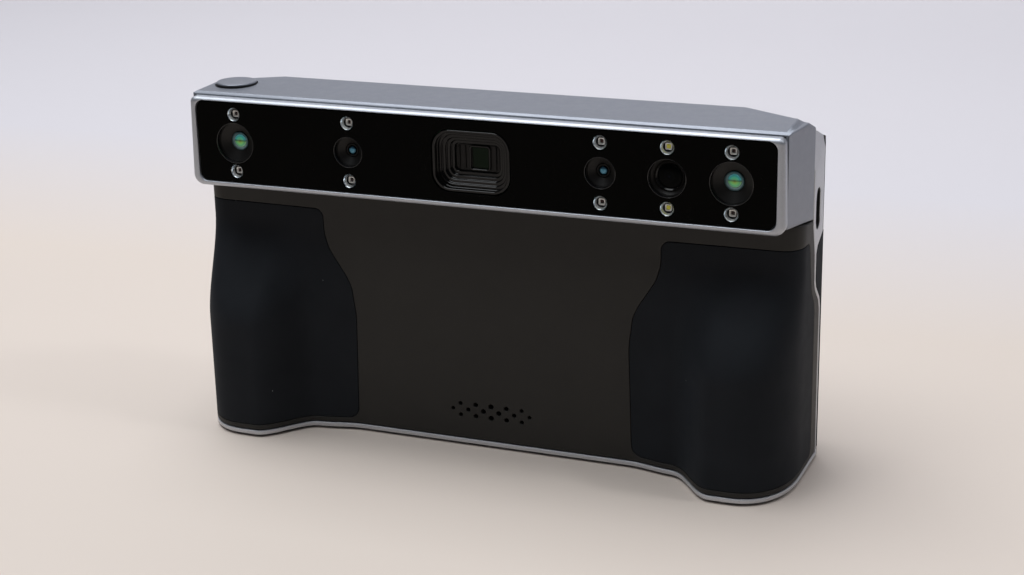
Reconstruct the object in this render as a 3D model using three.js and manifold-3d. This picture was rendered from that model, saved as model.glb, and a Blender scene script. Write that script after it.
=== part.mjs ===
// Hand-held structured-light scanner with a flip-up screen.
// Millimetres, +Z up, +Y towards the screen at the back, the camera window faces -Y.
// The origin is the middle of the base. Inside, every piece is drawn in the optics frame:
// X to the right, Y backwards from the front of the window, Z up from the camera axes.
import * as THREE from "three";
import { mergeVertices } from "three/addons/utils/BufferGeometryUtils.js";
import Module from "manifold-3d";

const wasm = await Module();
wasm.setup();

// ---------------------------------------------------------------- driving dimensions
const WIDTH = 173;
const HALF = WIDTH / 2;
const BASE_Z = -85; // underside, below the camera axes
const ROOF_Z = 14; // rear edge of the head's top
const ROOF_FRONT_Z = 13.4; // the top falls slightly to the front
const GAP = 0.3; // between neighbouring pieces

// grips and front panel
const PANEL_Y = 9.2; // flat front panel
const GRIP_BULGE = 14.5; // how far a grip stands in front of the panel
const GRIP_TOP_Z = -24; // the bulge starts here
const GRIP_FULL_Z = -52; // and is complete here
const WALL = 3.4;
const PAD_THICK = 1.3;
const PAD_RECESS = PAD_THICK + GAP;
const REAR_Y = 36.8; // flat back
const REAR_CORNER = 3.5;
const FRAME_Y = [31.5, 33.0]; // main plate of the mid frame
const BASE_PLATE = 2.1; // plate under the body, with its foot
const FOOT = { height: 0.6, inset: 1.3 }; // the foot is narrower than the plate

// head
const HEAD_FRONT_Y = 2.6;
const HEAD_HALF_FRONT = 84.3;
const HEAD_REAR_Y = 24.4;
const HEAD_SIDE_REAR_Y = 22;
const HEAD_SIDE_SLOPE = 0.11;
const HEAD_WALL = 2;
const HEAD_SIDE_WALL = 1.4;
const HEAD_FLOOR_Z = -11.2; // underside at the front, falling backwards
const HEAD_FLOOR_SLOPE = 0.127;

// window, cameras and lights
const GLASS_HALF = 82;
const GLASS_Z = [-11, 11.28];
const GLASS_THICK = 1.1;
const GLASS_CORNER = 2.2;
const FAR_X = 70.6;
const NEAR_X = 35.9;
const COLOUR_X = 53.8;
const LED_Z = 8;
const LED_R = 2;
const BRACKET_HALF = 79.5; // light board and optics bracket

// controls
const SCAN = { x: -76.4, y: 12.9, r: 5.6, gap: 0.45, flange: 1.1, proud: 0.5 };
const SIDE_PORT = { y: 26.9, z: -12.2, length: 11.4, width: 4.4 };

// screen and its hinge
const HINGE = { y: 41.4, z: 3, r: 4, bore: 1.75, pin: 1.4 };
const SCREEN = { half: 75, top: -1.8, bottom: -79.5, front: 37.1, back: 45.7 };

const FRONT_Y = PANEL_Y - GRIP_BULGE;
const MIDDLE_Y = (FRONT_Y + SCREEN.back) / 2;

// ---------------------------------------------------------------- solids
function solid(geometry) {
  const bare = geometry.clone();
  bare.deleteAttribute("normal");
  bare.deleteAttribute("uv");
  const merged = mergeVertices(bare, 1e-4);
  const mesh = new wasm.Mesh({
    numProp: 3,
    vertProperties: new Float32Array(merged.attributes.position.array),
    triVerts: new Uint32Array(merged.index.array),
  });
  return new wasm.Manifold(mesh);
}

function toGeometry(manifold) {
  const mesh = manifold.getMesh();
  const geometry = new THREE.BufferGeometry();
  geometry.setAttribute("position", new THREE.BufferAttribute(mesh.vertProperties, 3));
  geometry.setIndex(new THREE.BufferAttribute(mesh.triVerts, 1));
  return geometry;
}

// Places a shape's own (x, y, extrusion) directions on the model's axes.
const PRISM_BASIS = {
  x: [new THREE.Vector3(0, 1, 0), new THREE.Vector3(0, 0, 1), new THREE.Vector3(1, 0, 0)],
  y: [new THREE.Vector3(1, 0, 0), new THREE.Vector3(0, 0, 1), new THREE.Vector3(0, -1, 0)],
  z: [new THREE.Vector3(1, 0, 0), new THREE.Vector3(0, 1, 0), new THREE.Vector3(0, 0, 1)],
};

// A prism of a shape drawn in the plane across the axis: YZ for x, XZ for y, XY for z.
function prism(shape, axis, from, to, curveSegments = 6) {
  const options = { depth: to - from, bevelEnabled: false, curveSegments };
  const geometry = new THREE.ExtrudeGeometry(shape, options);
  const matrix = new THREE.Matrix4().makeBasis(...PRISM_BASIS[axis]);
  geometry.applyMatrix4(matrix);
  const start = axis === "y" ? to : from;
  const shift = new THREE.Vector3();
  shift[axis] = start;
  geometry.translate(shift.x, shift.y, shift.z);
  return solid(geometry);
}

function polygon(points) {
  return new THREE.Shape(points.map(([a, b]) => new THREE.Vector2(a, b)));
}

function block(x, y, z) {
  const geometry = new THREE.BoxGeometry(x[1] - x[0], y[1] - y[0], z[1] - z[0]);
  geometry.translate((x[0] + x[1]) / 2, (y[0] + y[1]) / 2, (z[0] + z[1]) / 2);
  return solid(geometry);
}

// A rod along an axis through the point (a, b) of the plane across it.
function rod(axis, [a, b], radius, from, to, segments = 16) {
  const circle = new THREE.Shape();
  circle.absarc(a, b, radius, 0, Math.PI * 2);
  return prism(circle, axis, from, to, segments / 2);
}

function roundedRect(x0, x1, y0, y1, r) {
  const shape = new THREE.Shape();
  shape.moveTo(x0 + r, y0);
  shape.lineTo(x1 - r, y0);
  shape.absarc(x1 - r, y0 + r, r, -Math.PI / 2, 0);
  shape.lineTo(x1, y1 - r);
  shape.absarc(x1 - r, y1 - r, r, 0, Math.PI / 2);
  shape.lineTo(x0 + r, y1);
  shape.absarc(x0 + r, y1 - r, r, Math.PI / 2, Math.PI);
  shape.lineTo(x0, y0 + r);
  shape.absarc(x0 + r, y0 + r, r, Math.PI, Math.PI * 1.5);
  return shape;
}

// A turned piece whose axis runs backwards (+Y) through (x, z). Profile: [radius, y] pairs.
function turned(profile, x, z, segments = 16) {
  const points = profile.map(([r, y]) => new THREE.Vector2(r, y));
  const geometry = new THREE.LatheGeometry(points, segments);
  geometry.translate(x, 0, z);
  return solid(geometry);
}

// A loft through sections of equal point count, each one anticlockwise seen from above.
function loft(sections) {
  const count = sections[0].length;
  const positions = sections.flat(2);
  const index = [];
  for (let level = 0; level + 1 < sections.length; level += 1) {
    for (let i = 0; i < count; i += 1) {
      const a = level * count + i;
      const b = level * count + ((i + 1) % count);
      index.push(a, b, b + count, a, b + count, a + count);
    }
  }
  const flat = sections[0].map(([x, y]) => new THREE.Vector2(x, y));
  const last = sections[sections.length - 1].map(([x, y]) => new THREE.Vector2(x, y));
  const top = (sections.length - 1) * count;
  for (const [a, b, c] of THREE.ShapeUtils.triangulateShape(flat, [])) {
    index.push(c, b, a);
  }
  for (const [a, b, c] of THREE.ShapeUtils.triangulateShape(last, [])) {
    index.push(top + a, top + b, top + c);
  }
  const geometry = new THREE.BufferGeometry();
  geometry.setAttribute("position", new THREE.Float32BufferAttribute(positions, 3));
  geometry.setIndex(index);
  return solid(geometry);
}

function smooth(value) {
  const t = Math.min(1, Math.max(0, value));
  return t * t * (3 - 2 * t);
}

// ---------------------------------------------------------------- outline of the body
// Stations of half a horizontal section: along the panel, round the grip, along the side.
const FLANK_X = [0, 42, 50, 55, 58, 61, 64, 68];
const CORNER_STEPS = 6;
const CORNER_POWER = 2 / 2.3;

function gripAmount(z) {
  return smooth((GRIP_TOP_Z - z) / (GRIP_TOP_Z - GRIP_FULL_Z));
}

// How much of the bulge a place across the panel has: a slow start, then the steep flank.
function flank(x) {
  return 0.16 * smooth((x - 40) / 14) + 0.84 * smooth((x - 53) / 14);
}

// The right half of the outline at height z, from the panel's middle to the back's middle.
function halfOutline(z) {
  const grip = gripAmount(z);
  const a = 6 + 9 * grip;
  const b = 6.5 + 14 * grip;
  const front = PANEL_Y - GRIP_BULGE * grip;
  const points = FLANK_X.map((x) => [x, PANEL_Y - GRIP_BULGE * grip * flank(x)]);
  for (let i = 0; i <= CORNER_STEPS; i += 1) {
    const turn = (i / CORNER_STEPS) * (Math.PI / 2);
    const along = Math.sin(turn) ** CORNER_POWER;
    const across = Math.max(0, Math.cos(turn)) ** CORNER_POWER;
    points.push([HALF - a + a * along, front + b - b * across]);
  }
  for (let i = 0; i <= 3; i += 1) {
    const turn = (i / 3) * (Math.PI / 2);
    const x = HALF - REAR_CORNER * (1 - Math.cos(turn));
    points.push([x, REAR_Y - REAR_CORNER * (1 - Math.sin(turn))]);
  }
  return points;
}

// The same outline moved inwards along its own normals.
function insetOutline(z, inset) {
  const points = halfOutline(z);
  const moved = points.map(([x, y], i) => {
    const [px, py] = i === 0 ? [-1, y] : points[i - 1];
    const [nx, ny] = i + 1 === points.length ? [x - 1, y] : points[i + 1];
    const length = Math.hypot(nx - px, ny - py);
    return [x - (inset * (ny - py)) / length, y + (inset * (nx - px)) / length];
  });
  moved[0][0] = 0;
  return moved;
}

const LEVELS = [BASE_Z, GRIP_FULL_Z, -46, -42, -38, -34, -30, GRIP_TOP_Z, ROOF_Z];

// The whole body, less an inset all round, from one height to another.
function bodyLoft(inset, bottom, top) {
  const heights = [bottom, ...LEVELS.filter((z) => z > bottom && z < top), top];
  const sections = heights.map((z) => {
    const right = insetOutline(z, inset).map(([x, y]) => [x, y, z]);
    const left = right.slice(1).reverse();
    return [...right, ...left.map(([x, y]) => [-x, y, z])];
  });
  return loft(sections);
}

// ---------------------------------------------------------------- roof of the head
// The roof falls to the back, and a cut takes each rear corner down to the side.
const ROOF_SLOPE = 0.73;
const CORNER_CUT = [
  [84.3, 15, ROOF_Z],
  [67, HEAD_REAR_Y, ROOF_Z],
  [86.5, 32, 6.3],
];
const SIDE_FACET = [
  [86.5, 22, -1.5],
  [86.5, 32, 2.5],
  [84.8, 27, 10],
];

// The large block that a plane through three points leaves on its outer side.
function beyond(points, side, inset) {
  const [a, b, c] = points.map(([x, y, z]) => new THREE.Vector3(side * x, y, z));
  const normal = b.clone().sub(a).cross(c.clone().sub(a)).normalize();
  const outward = new THREE.Vector3(side * 1, 1, 1);
  if (normal.dot(outward) < 0) {
    normal.negate();
  }
  const size = 400;
  const geometry = new THREE.BoxGeometry(size, size, size);
  const turn = new THREE.Quaternion().setFromUnitVectors(new THREE.Vector3(0, 0, 1), normal);
  geometry.applyQuaternion(turn);
  const centre = a.clone().addScaledVector(normal, size / 2 - inset);
  geometry.translate(centre.x, centre.y, centre.z);
  return solid(geometry);
}

function roofBeyond(inset) {
  const top = ROOF_Z - inset;
  const far = 60;
  const start = HEAD_REAR_Y - inset * 0.4;
  const low = top - (far - start) * ROOF_SLOPE;
  const shape = polygon([[-20, top], [start, top], [far, low], [far, 60], [-20, 60]]);
  return prism(shape, "x", -100, 100);
}

function trimRoof(piece, inset) {
  const trimmed = piece.subtract(roofBeyond(inset));
  const cornerInset = inset * 0.6;
  const right = trimmed.subtract(beyond(CORNER_CUT, 1, cornerInset));
  return right.subtract(beyond(CORNER_CUT, -1, cornerInset));
}

// The body behind the head, under the roof and inside the side facets.
function rearBody(inset, bottom) {
  const body = trimRoof(bodyLoft(inset, bottom, ROOF_Z), Math.min(inset, HEAD_WALL));
  return body.subtract(beyond(SIDE_FACET, 1, inset)).subtract(beyond(SIDE_FACET, -1, inset));
}

// ---------------------------------------------------------------- dividing lines on the side
// [depth, height] points of the line between front shell and mid frame, from the top down.
const TRIM_LINE = [
  [22.3, -12],
  [22.6, -16],
  [24.9, -24],
  [25.4, -32],
  [26.4, -34.4],
  [30.4, -38.2],
  [31.5, -41],
  [31.5, BASE_Z + BASE_PLATE],
];
// Rear edge of the front pad on the side wall.
const PAD_REAR_LINE = [
  [18.4, -20.9],
  [21.1, -31.5],
  [22, -34],
  [24.9, -37.6],
  [25.7, -40.5],
  [25.7, -81],
];
// Inner edge of the front pad on the panel: [x, z].
const PAD_INNER_LINE = [
  [51, -19.6],
  [49.6, -21],
  [49.4, -26.5],
  [48.2, -30.5],
  [43.4, -38],
  [41.7, -41.5],
  [41.3, -45],
  [41.3, -78.6],
  [41.9, -80],
  [43.5, -81],
];
// Front edge of the rear rubber on the side wall.
const STRIP_LINE = [
  [40, -17.2],
  [28, -22.6],
  [26.7, -24.4],
  [26.7, -31.6],
  [27.6, -33.8],
  [31.6, -37.6],
  [32.8, -40.6],
  [32.8, -82],
];
const STRIP_INNER_X = 77.4;

// Everything in front of a side line, moved back by a gap.
function aheadOf(line, gap) {
  const moved = line.map(([y, z]) => [y + gap, z]);
  const top = moved[0][1];
  const bottom = moved[moved.length - 1][1];
  return polygon([[-20, top], ...moved, [-20, bottom]]);
}

// The space a front pad takes, with a margin on every edge.
function padSpace(side, margin) {
  const inner = PAD_INNER_LINE.map(([x, z]) => [side * (x - margin), z]);
  inner[0][1] += margin;
  inner[inner.length - 1][1] -= margin;
  const [top, bottom] = [inner[0][1], inner[inner.length - 1][1]];
  const outline = [...inner, [side * 100, bottom], [side * 100, top]];
  const rear = PAD_REAR_LINE.map(([y, z]) => [y + margin, z]);
  rear[0][1] += margin;
  rear[rear.length - 1][1] -= margin;
  const ahead = polygon([[-20, top], [PANEL_Y, top], ...rear, [-20, bottom]]);
  return prism(polygon(outline), "y", -20, 60).intersect(prism(ahead, "x", -100, 100));
}

// The space a rear rubber strip takes.
function stripSpace(side, margin) {
  const line = STRIP_LINE.map(([y, z]) => [y - margin, z]);
  line[0][1] += margin;
  line[line.length - 1][1] -= margin;
  const behind = polygon([...line, [40, line[line.length - 1][1]]]);
  const inner = STRIP_INNER_X - margin;
  const x = side > 0 ? [inner, 100] : [-100, -inner];
  return prism(behind, "x", x[0], x[1]);
}

// ---------------------------------------------------------------- materials
function finish(color, roughness, metalness = 0) {
  return new THREE.MeshStandardMaterial({ color, roughness, metalness });
}

const MATERIALS = {
  headPaint: finish(0x6f747c, 0.45, 0.6),
  bezelMetal: finish(0x8d929a, 0.35, 0.8),
  frameMetal: finish(0xa3a7ad, 0.4, 0.7),
  shellPlastic: finish(0x3a3936, 0.6),
  gripRubber: finish(0x1b1d20, 0.75),
  blackGlass: finish(0x050506, 0.08),
  blackPlastic: finish(0x111214, 0.5),
  coatedLens: finish(0x1e7f73, 0.05),
  darkLens: finish(0x0b0d12, 0.05),
  reflector: finish(0xc9ccd2, 0.25, 0.9),
  board: finish(0x1d4a2e, 0.6),
  aluminium: finish(0xb4b7bb, 0.4, 0.9),
  steel: finish(0xa9abae, 0.3, 0.95),
  brass: finish(0xb08d4a, 0.35, 0.9),
  batteryWrap: finish(0x2f5f9a, 0.5),
  display: finish(0x07080a, 0.2),
};

const optics = new THREE.Group();
const screen = new THREE.Group();
optics.position.set(0, -MIDDLE_Y, -BASE_Z);
optics.add(screen);

function add(group, name, manifold, material) {
  const mesh = new THREE.Mesh(toGeometry(manifold), material);
  mesh.name = name;
  group.add(mesh);
  return mesh;
}

const SIDES = [["left", -1], ["right", 1]];

// ---------------------------------------------------------------- head
function headPlan(gap) {
  const half = HEAD_HALF_FRONT + gap;
  const wide = HALF + gap;
  return polygon([
    [-half, HEAD_FRONT_Y - gap],
    [half, HEAD_FRONT_Y - gap],
    [wide, HEAD_SIDE_REAR_Y + gap],
    [67, HEAD_REAR_Y + gap],
    [-67, HEAD_REAR_Y + gap],
    [-wide, HEAD_SIDE_REAR_Y + gap],
  ]);
}

// Everything below the head's sloping underside, moved down by a gap.
function underHead(gap) {
  const far = 60;
  const near = -20;
  const level = (y) => HEAD_FLOOR_Z - HEAD_FLOOR_SLOPE * y - gap;
  const shape = polygon([[near, -100], [far, -100], [far, level(far)], [near, level(near)]]);
  return prism(shape, "x", -100, 100);
}

// What is cut off the head's top: its slight fall to the front and its bevelled edges.
function headTop() {
  const frontBevel = 0.8;
  const sideBevel = 1.3;
  const front = HEAD_FRONT_Y;
  const fall = polygon([
    [front - 5, ROOF_FRONT_Z - frontBevel - 5],
    [front + frontBevel, ROOF_FRONT_Z],
    [HEAD_REAR_Y, ROOF_Z],
    [HEAD_REAR_Y, ROOF_Z + 5],
    [front - 5, ROOF_Z + 5],
  ]);
  let cut = prism(fall, "x", -100, 100);
  for (const [, side] of SIDES) {
    const edge = HEAD_HALF_FRONT * side;
    const shape = polygon([
      [edge - sideBevel * side, ROOF_Z],
      [edge, ROOF_Z - sideBevel],
      [edge + 8 * side, ROOF_Z - sideBevel],
      [edge + 8 * side, ROOF_Z + 5],
      [edge - sideBevel * side, ROOF_Z + 5],
    ]);
    cut = cut.add(prism(shape, "y", -5, 60));
  }
  return cut;
}

function headHousing() {
  const outer = prism(headPlan(0), "z", -20, ROOF_Z).subtract(underHead(0)).subtract(headTop());
  const shell = trimRoof(outer, 0);
  const floor = HEAD_FLOOR_Z + 0.9;
  const wallX = (y) => HEAD_HALF_FRONT - HEAD_SIDE_WALL + (y - HEAD_FRONT_Y) * HEAD_SIDE_SLOPE;
  const [near, far] = [-5, HEAD_SIDE_REAR_Y + 3];
  const inside = [[-wallX(near), near], [wallX(near), near], [wallX(far), far], [-wallX(far), far]];
  const cavity = prism(polygon(inside), "z", floor, ROOF_Z - HEAD_WALL);
  const behind = block([-81, 81], [HEAD_SIDE_REAR_Y - 4, 60], [-40, floor + 1]);
  const duct = block([-58, 58], [13, 30], [-40, floor + 1]);
  const hole = rod("z", [SCAN.x, SCAN.y], SCAN.r + SCAN.gap, ROOF_Z - 6, ROOF_Z + 5, 24);
  const open = shell.subtract(trimRoof(cavity, HEAD_WALL)).subtract(behind);
  return open.subtract(duct).subtract(hole);
}

function frontBezel() {
  const outline = new THREE.Shape();
  const corner = 3;
  const [low, high] = [-12.7, 12.4];
  const [halfTop, halfBottom] = [84, 84.6];
  outline.moveTo(-halfBottom + corner, low);
  outline.lineTo(halfBottom - corner, low);
  outline.quadraticCurveTo(halfBottom, low, halfBottom, low + corner);
  outline.lineTo(halfTop, high - corner);
  outline.quadraticCurveTo(halfTop, high, halfTop - corner, high);
  outline.lineTo(-halfTop + corner, high);
  outline.quadraticCurveTo(-halfTop, high, -halfTop, high - corner);
  outline.lineTo(-halfBottom, low + corner);
  outline.quadraticCurveTo(-halfBottom, low, -halfBottom + corner, low);
  const ring = prism(outline, "y", -0.4, HEAD_FRONT_Y - GAP, 4);
  const [bottom, top] = GLASS_Z;
  const half = GLASS_HALF + GAP;
  const ledge = 0.6;
  const seat = roundedRect(-half, half, bottom - GAP, top + GAP, GLASS_CORNER + GAP);
  const window = roundedRect(1 - GLASS_HALF, GLASS_HALF - 1, bottom + ledge, top - ledge, 2);
  const front = prism(seat, "y", -5, GLASS_THICK + GAP, 3);
  return ring.subtract(front).subtract(prism(window, "y", -5, 5, 3));
}

// ---------------------------------------------------------------- window and optics
const CAMERAS = [
  { name: "far_left", x: -FAR_X, recess: 5.75, ring: 2.5, lens: 1.85, depth: 2.7, coat: "coatedLens" },
  { name: "near_left", x: -NEAR_X, recess: 4.3, ring: 1.5, lens: 0.8, depth: 2.2, coat: "darkLens" },
  { name: "near_right", x: NEAR_X, recess: 4.3, ring: 1.5, lens: 0.8, depth: 2.2, coat: "darkLens" },
  { name: "colour", x: COLOUR_X, recess: 5.15, ring: 3.9, lens: 3.3, depth: 2.4, coat: "darkLens" },
  { name: "far_right", x: FAR_X, recess: 5.75, ring: 2.5, lens: 1.85, depth: 2.7, coat: "coatedLens" },
];
const HOOD = { half: [11, 8.3], corner: 5, steps: 5, depth: 5.4, lip: 0.7, pitch: 0.95 };
const PROJECTOR_WINDOW = { x: [-1.9, 3.3], z: [-3.3, 3.3] };

function hoodOutline(grow) {
  const [w, h] = HOOD.half;
  return roundedRect(-w - grow, w + grow, -h - grow, h + grow, HOOD.corner + grow);
}

function windowGlass() {
  const plate = roundedRect(-GLASS_HALF, GLASS_HALF, ...GLASS_Z, GLASS_CORNER);
  for (const camera of CAMERAS) {
    const hole = new THREE.Path();
    hole.absarc(camera.x, 0, camera.recess, 0, Math.PI * 2);
    plate.holes.push(hole);
    for (const z of [-LED_Z, LED_Z]) {
      const port = new THREE.Path();
      port.absarc(camera.x, z, LED_R + 0.05, 0, Math.PI * 2);
      plate.holes.push(port);
    }
  }
  plate.holes.push(hoodOutline(GAP));
  return prism(plate, "y", 0, GLASS_THICK, 6);
}

function cameraBarrel({ x, recess, ring, lens, depth }) {
  const profile = [
    [0, 6.2],
    [0, depth + 1.3],
    [lens + GAP, depth + 1.3],
    [lens + GAP, depth],
    [ring, depth],
    [ring, depth + 1],
    [recess - 1.2, depth + 1],
    [recess - 0.3, GLASS_THICK + GAP],
    [recess, GLASS_THICK + GAP],
    [recess, 6.2],
    [0, 6.2],
  ];
  const tube = turned(profile, x, 0);
  return tube.add(block([x - 5.4, x + 5.4], [6, 8.7], [-5.4, 5.4]));
}

function cameraLens({ x, lens, depth }) {
  const back = depth + 1;
  const front = [[0, depth - 0.25], [lens * 0.6, depth - 0.12], [lens, depth + 0.2]];
  return turned([[0, back], ...front, [lens, back], [0, back]], x, 0, 12);
}

function ledCup(x, z) {
  const outer = LED_R - 0.15;
  const [front, floor, back] = [0.15, 2.1, 2.4];
  const cup = [[0, floor], [1.3, floor], [outer - 0.12, front], [outer, front], [outer, back]];
  return turned([[0, back], ...cup, [0, back]], x, z, 12);
}

function ledBoard() {
  let board = block([-BRACKET_HALF, BRACKET_HALF], [2.7, 3.5], [-10, 10]);
  for (const camera of CAMERAS) {
    board = board.subtract(rod("y", [camera.x, 0], camera.recess + 0.4, 0, 6, 12));
  }
  return board.subtract(prism(hoodOutline(GAP), "y", 0, 6, 2));
}

function projectorHood() {
  const [w, h] = HOOD.half;
  let hood = prism(hoodOutline(0), "y", 0.1, 7.2, 3);
  for (let i = 0; i < HOOD.steps; i += 1) {
    const inset = HOOD.lip + i * HOOD.pitch;
    const corner = HOOD.corner - 0.4 - i * 0.75;
    const floor = 1 + ((i + 1) * (HOOD.depth - 1)) / HOOD.steps;
    const pocket = roundedRect(-w + inset, w - inset, -h + inset, h - inset, corner);
    hood = hood.subtract(prism(pocket, "y", -1, floor, 3));
  }
  return hood.subtract(block(PROJECTOR_WINDOW.x, [0, 20], PROJECTOR_WINDOW.z));
}

function opticsBracket() {
  const wide = [-BRACKET_HALF, BRACKET_HALF];
  const plate = block(wide, [9, 11], [-7.6, 7.6]);
  const upper = block(wide, [10, 17], [6.6, 7.6]);
  const lower = block(wide, [10, 17], [-7.6, -6.6]);
  const notch = block([-11.6, 11.6], [0, 15], [-5.6, 5.6]);
  return plate.add(upper).add(lower).subtract(notch);
}

function cameraHead() {
  add(optics, "head_housing", headHousing(), MATERIALS.headPaint);
  add(optics, "front_bezel", frontBezel(), MATERIALS.bezelMetal);
  add(optics, "window_glass", windowGlass(), MATERIALS.blackGlass);
  for (const camera of CAMERAS) {
    add(optics, `${camera.name}_camera`, cameraBarrel(camera), MATERIALS.blackPlastic);
    add(optics, `${camera.name}_lens`, cameraLens(camera), MATERIALS[camera.coat]);
    const kind = camera.name === "colour" ? "flash_led" : `${camera.name}_infrared_led`;
    add(optics, `${kind}_upper`, ledCup(camera.x, LED_Z), MATERIALS.reflector);
    add(optics, `${kind}_lower`, ledCup(camera.x, -LED_Z), MATERIALS.reflector);
  }
  add(optics, "led_board", ledBoard(), MATERIALS.board);
  add(optics, "projector_hood", projectorHood(), MATERIALS.blackPlastic);
  const [width, height] = [PROJECTOR_WINDOW.x, PROJECTOR_WINDOW.z].map(([a, b]) => [a + GAP, b - GAP]);
  add(optics, "projector_lens", block(width, [5.2, 6.4], height), MATERIALS.darkLens);
  const module = block([-11.3, 11.3], [7.5, 21], [-5.3, 5.3]);
  add(optics, "projector_module", module, MATERIALS.blackPlastic);
  add(optics, "optics_bracket", opticsBracket(), MATERIALS.aluminium);
}

// ---------------------------------------------------------------- casing
const SPEAKER_ROWS = [
  { z: -72.4, count: 5 },
  { z: -74.1, count: 6 },
  { z: -75.8, count: 5 },
];
const SPEAKER_PITCH = 4.6;

function frontShell() {
  const ahead = prism(aheadOf(TRIM_LINE, -GAP), "x", -100, 100);
  const tube = bodyLoft(0, BASE_Z + BASE_PLATE + GAP, -10).subtract(bodyLoft(WALL, BASE_Z - 5, 0));
  let shell = tube.intersect(ahead).intersect(underHead(GAP));
  const skin = bodyLoft(-1, BASE_Z - 5, 0).subtract(bodyLoft(PAD_RECESS, BASE_Z - 5, 0));
  for (const [, side] of SIDES) {
    shell = shell.subtract(padSpace(side, GAP).intersect(skin));
  }
  for (const row of SPEAKER_ROWS) {
    for (let i = 0; i < row.count; i += 1) {
      const x = (i - (row.count - 1) / 2) * SPEAKER_PITCH;
      const size = 0.75 - 0.02 * Math.abs(x);
      shell = shell.subtract(rod("y", [x, row.z], size, 5, 15, 8));
    }
  }
  return shell;
}

function gripPad(side) {
  const skin = bodyLoft(0, BASE_Z + 0.5, -12).subtract(bodyLoft(PAD_THICK, BASE_Z - 5, 0));
  return skin.intersect(padSpace(side, 0));
}

function rearStrip(side) {
  const skin = bodyLoft(0, BASE_Z + 0.5, -12).subtract(bodyLoft(PAD_THICK, BASE_Z - 5, 0));
  return skin.intersect(stripSpace(side, 0));
}

function stripRecess(piece) {
  const skin = bodyLoft(-1, BASE_Z - 5, 0).subtract(bodyLoft(PAD_RECESS, BASE_Z - 5, 0));
  const right = piece.subtract(skin.intersect(stripSpace(1, GAP)));
  return right.subtract(skin.intersect(stripSpace(-1, GAP)));
}

function pill(centre, length, width) {
  const [y, z] = centre;
  const [a, b] = [width / 2, length / 2];
  return roundedRect(y - a, y + a, z - b, z + b, a - 0.01);
}

const SCREWS = [-1, 1].flatMap((side) => [-8, -75].map((z) => ({ x: side * 69, z })));
const TRIPOD = { y: 23, r: 5, bore: 2.8, height: 9 };

// The rim left out under the base plate, round the foot.
function footRim() {
  const outside = bodyLoft(-1, BASE_Z - 1, BASE_Z + FOOT.height);
  return outside.subtract(bodyLoft(FOOT.inset, BASE_Z - 2, BASE_Z + 5));
}

function midFrame() {
  const base = BASE_Z + BASE_PLATE;
  const region = polygon([
    ...TRIM_LINE,
    [-20, base],
    [-20, BASE_Z - 1],
    [FRAME_Y[1], BASE_Z - 1],
    [FRAME_Y[1], 30],
    [TRIM_LINE[0][0], 30],
  ]);
  const outer = rearBody(0, BASE_Z);
  const ahead = block([-100, 100], [-20, FRAME_Y[0]], [-100, 50]);
  const inner = rearBody(WALL, base).intersect(ahead);
  const head = prism(headPlan(GAP), "z", -14.2, 30).subtract(underHead(GAP));
  let frame = outer.subtract(inner).intersect(prism(region, "x", -100, 100)).subtract(head);
  frame = stripRecess(frame).subtract(footRim());
  const { y, z, length, width } = SIDE_PORT;
  const port = prism(pill([y, z], length, width), "x", 80, 95, 4);
  frame = frame.subtract(port).subtract(port.mirror([1, 0, 0]));
  for (const [, side] of SIDES) {
    frame = frame.subtract(block([side * 48 - 6, side * 48 + 6], [28, 40], [-60, -30]));
  }
  for (const screw of SCREWS) {
    frame = frame.subtract(rod("y", [screw.x, screw.z], 1.6, 28, 40, 8));
  }
  for (let i = -4; i <= 4; i += 1) {
    frame = frame.subtract(block([i * 9 - 3, i * 9 + 3], [27, 28.6], [0, 20]));
  }
  return frame.subtract(rod("z", [0, TRIPOD.y], TRIPOD.r + GAP, BASE_Z - 5, BASE_Z + 5));
}

function rearCover() {
  const bottom = BASE_Z + FOOT.height;
  const region = block([-100, 100], [FRAME_Y[1] + GAP, 60], [bottom, 40]);
  const outer = rearBody(0, BASE_Z).intersect(region);
  const ahead = block([-100, 100], [0, REAR_Y - 2.5], [-100, 50]);
  const hollow = rearBody(WALL, bottom + 2).intersect(ahead);
  let cover = stripRecess(outer.subtract(hollow));
  for (const { x, z } of SCREWS) {
    cover = cover.subtract(rod("y", [x, z], 1.6, 28, 40, 8));
    cover = cover.subtract(rod("y", [x, z], 3, REAR_Y - 1.4, 40, 12));
  }
  return cover;
}

function casing() {
  add(optics, "front_shell", frontShell(), MATERIALS.shellPlastic);
  add(optics, "mid_frame", midFrame(), MATERIALS.frameMetal);
  add(optics, "rear_cover", rearCover(), MATERIALS.shellPlastic);
  for (const [label, side] of SIDES) {
    add(optics, `${label}_grip_pad`, gripPad(side), MATERIALS.gripRubber);
    add(optics, `${label}_rear_grip_strip`, rearStrip(side), MATERIALS.gripRubber);
  }
  SCREWS.forEach(({ x, z }, i) => {
    const face = REAR_Y - 0.2;
    const head = rod("y", [x, z], 2.6, REAR_Y - 1.1, face, 12);
    const shank = rod("y", [x, z], 1.25, 29.5, REAR_Y - 0.9, 8);
    const slot = block([x - 1.6, x + 1.6], [face - 0.5, face + 1], [z - 0.3, z + 0.3]);
    const cross = block([x - 0.3, x + 0.3], [face - 0.5, face + 1], [z - 1.6, z + 1.6]);
    const screw = head.add(shank).subtract(slot).subtract(cross);
    add(optics, `rear_screw_${i + 1}`, screw, MATERIALS.steel);
  });
  const insert = rod("z", [0, TRIPOD.y], TRIPOD.r, BASE_Z, BASE_Z + TRIPOD.height);
  const thread = rod("z", [0, TRIPOD.y], TRIPOD.bore, BASE_Z - 1, BASE_Z + TRIPOD.height - 1.5);
  add(optics, "tripod_insert", insert.subtract(thread), MATERIALS.brass);
}

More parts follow.
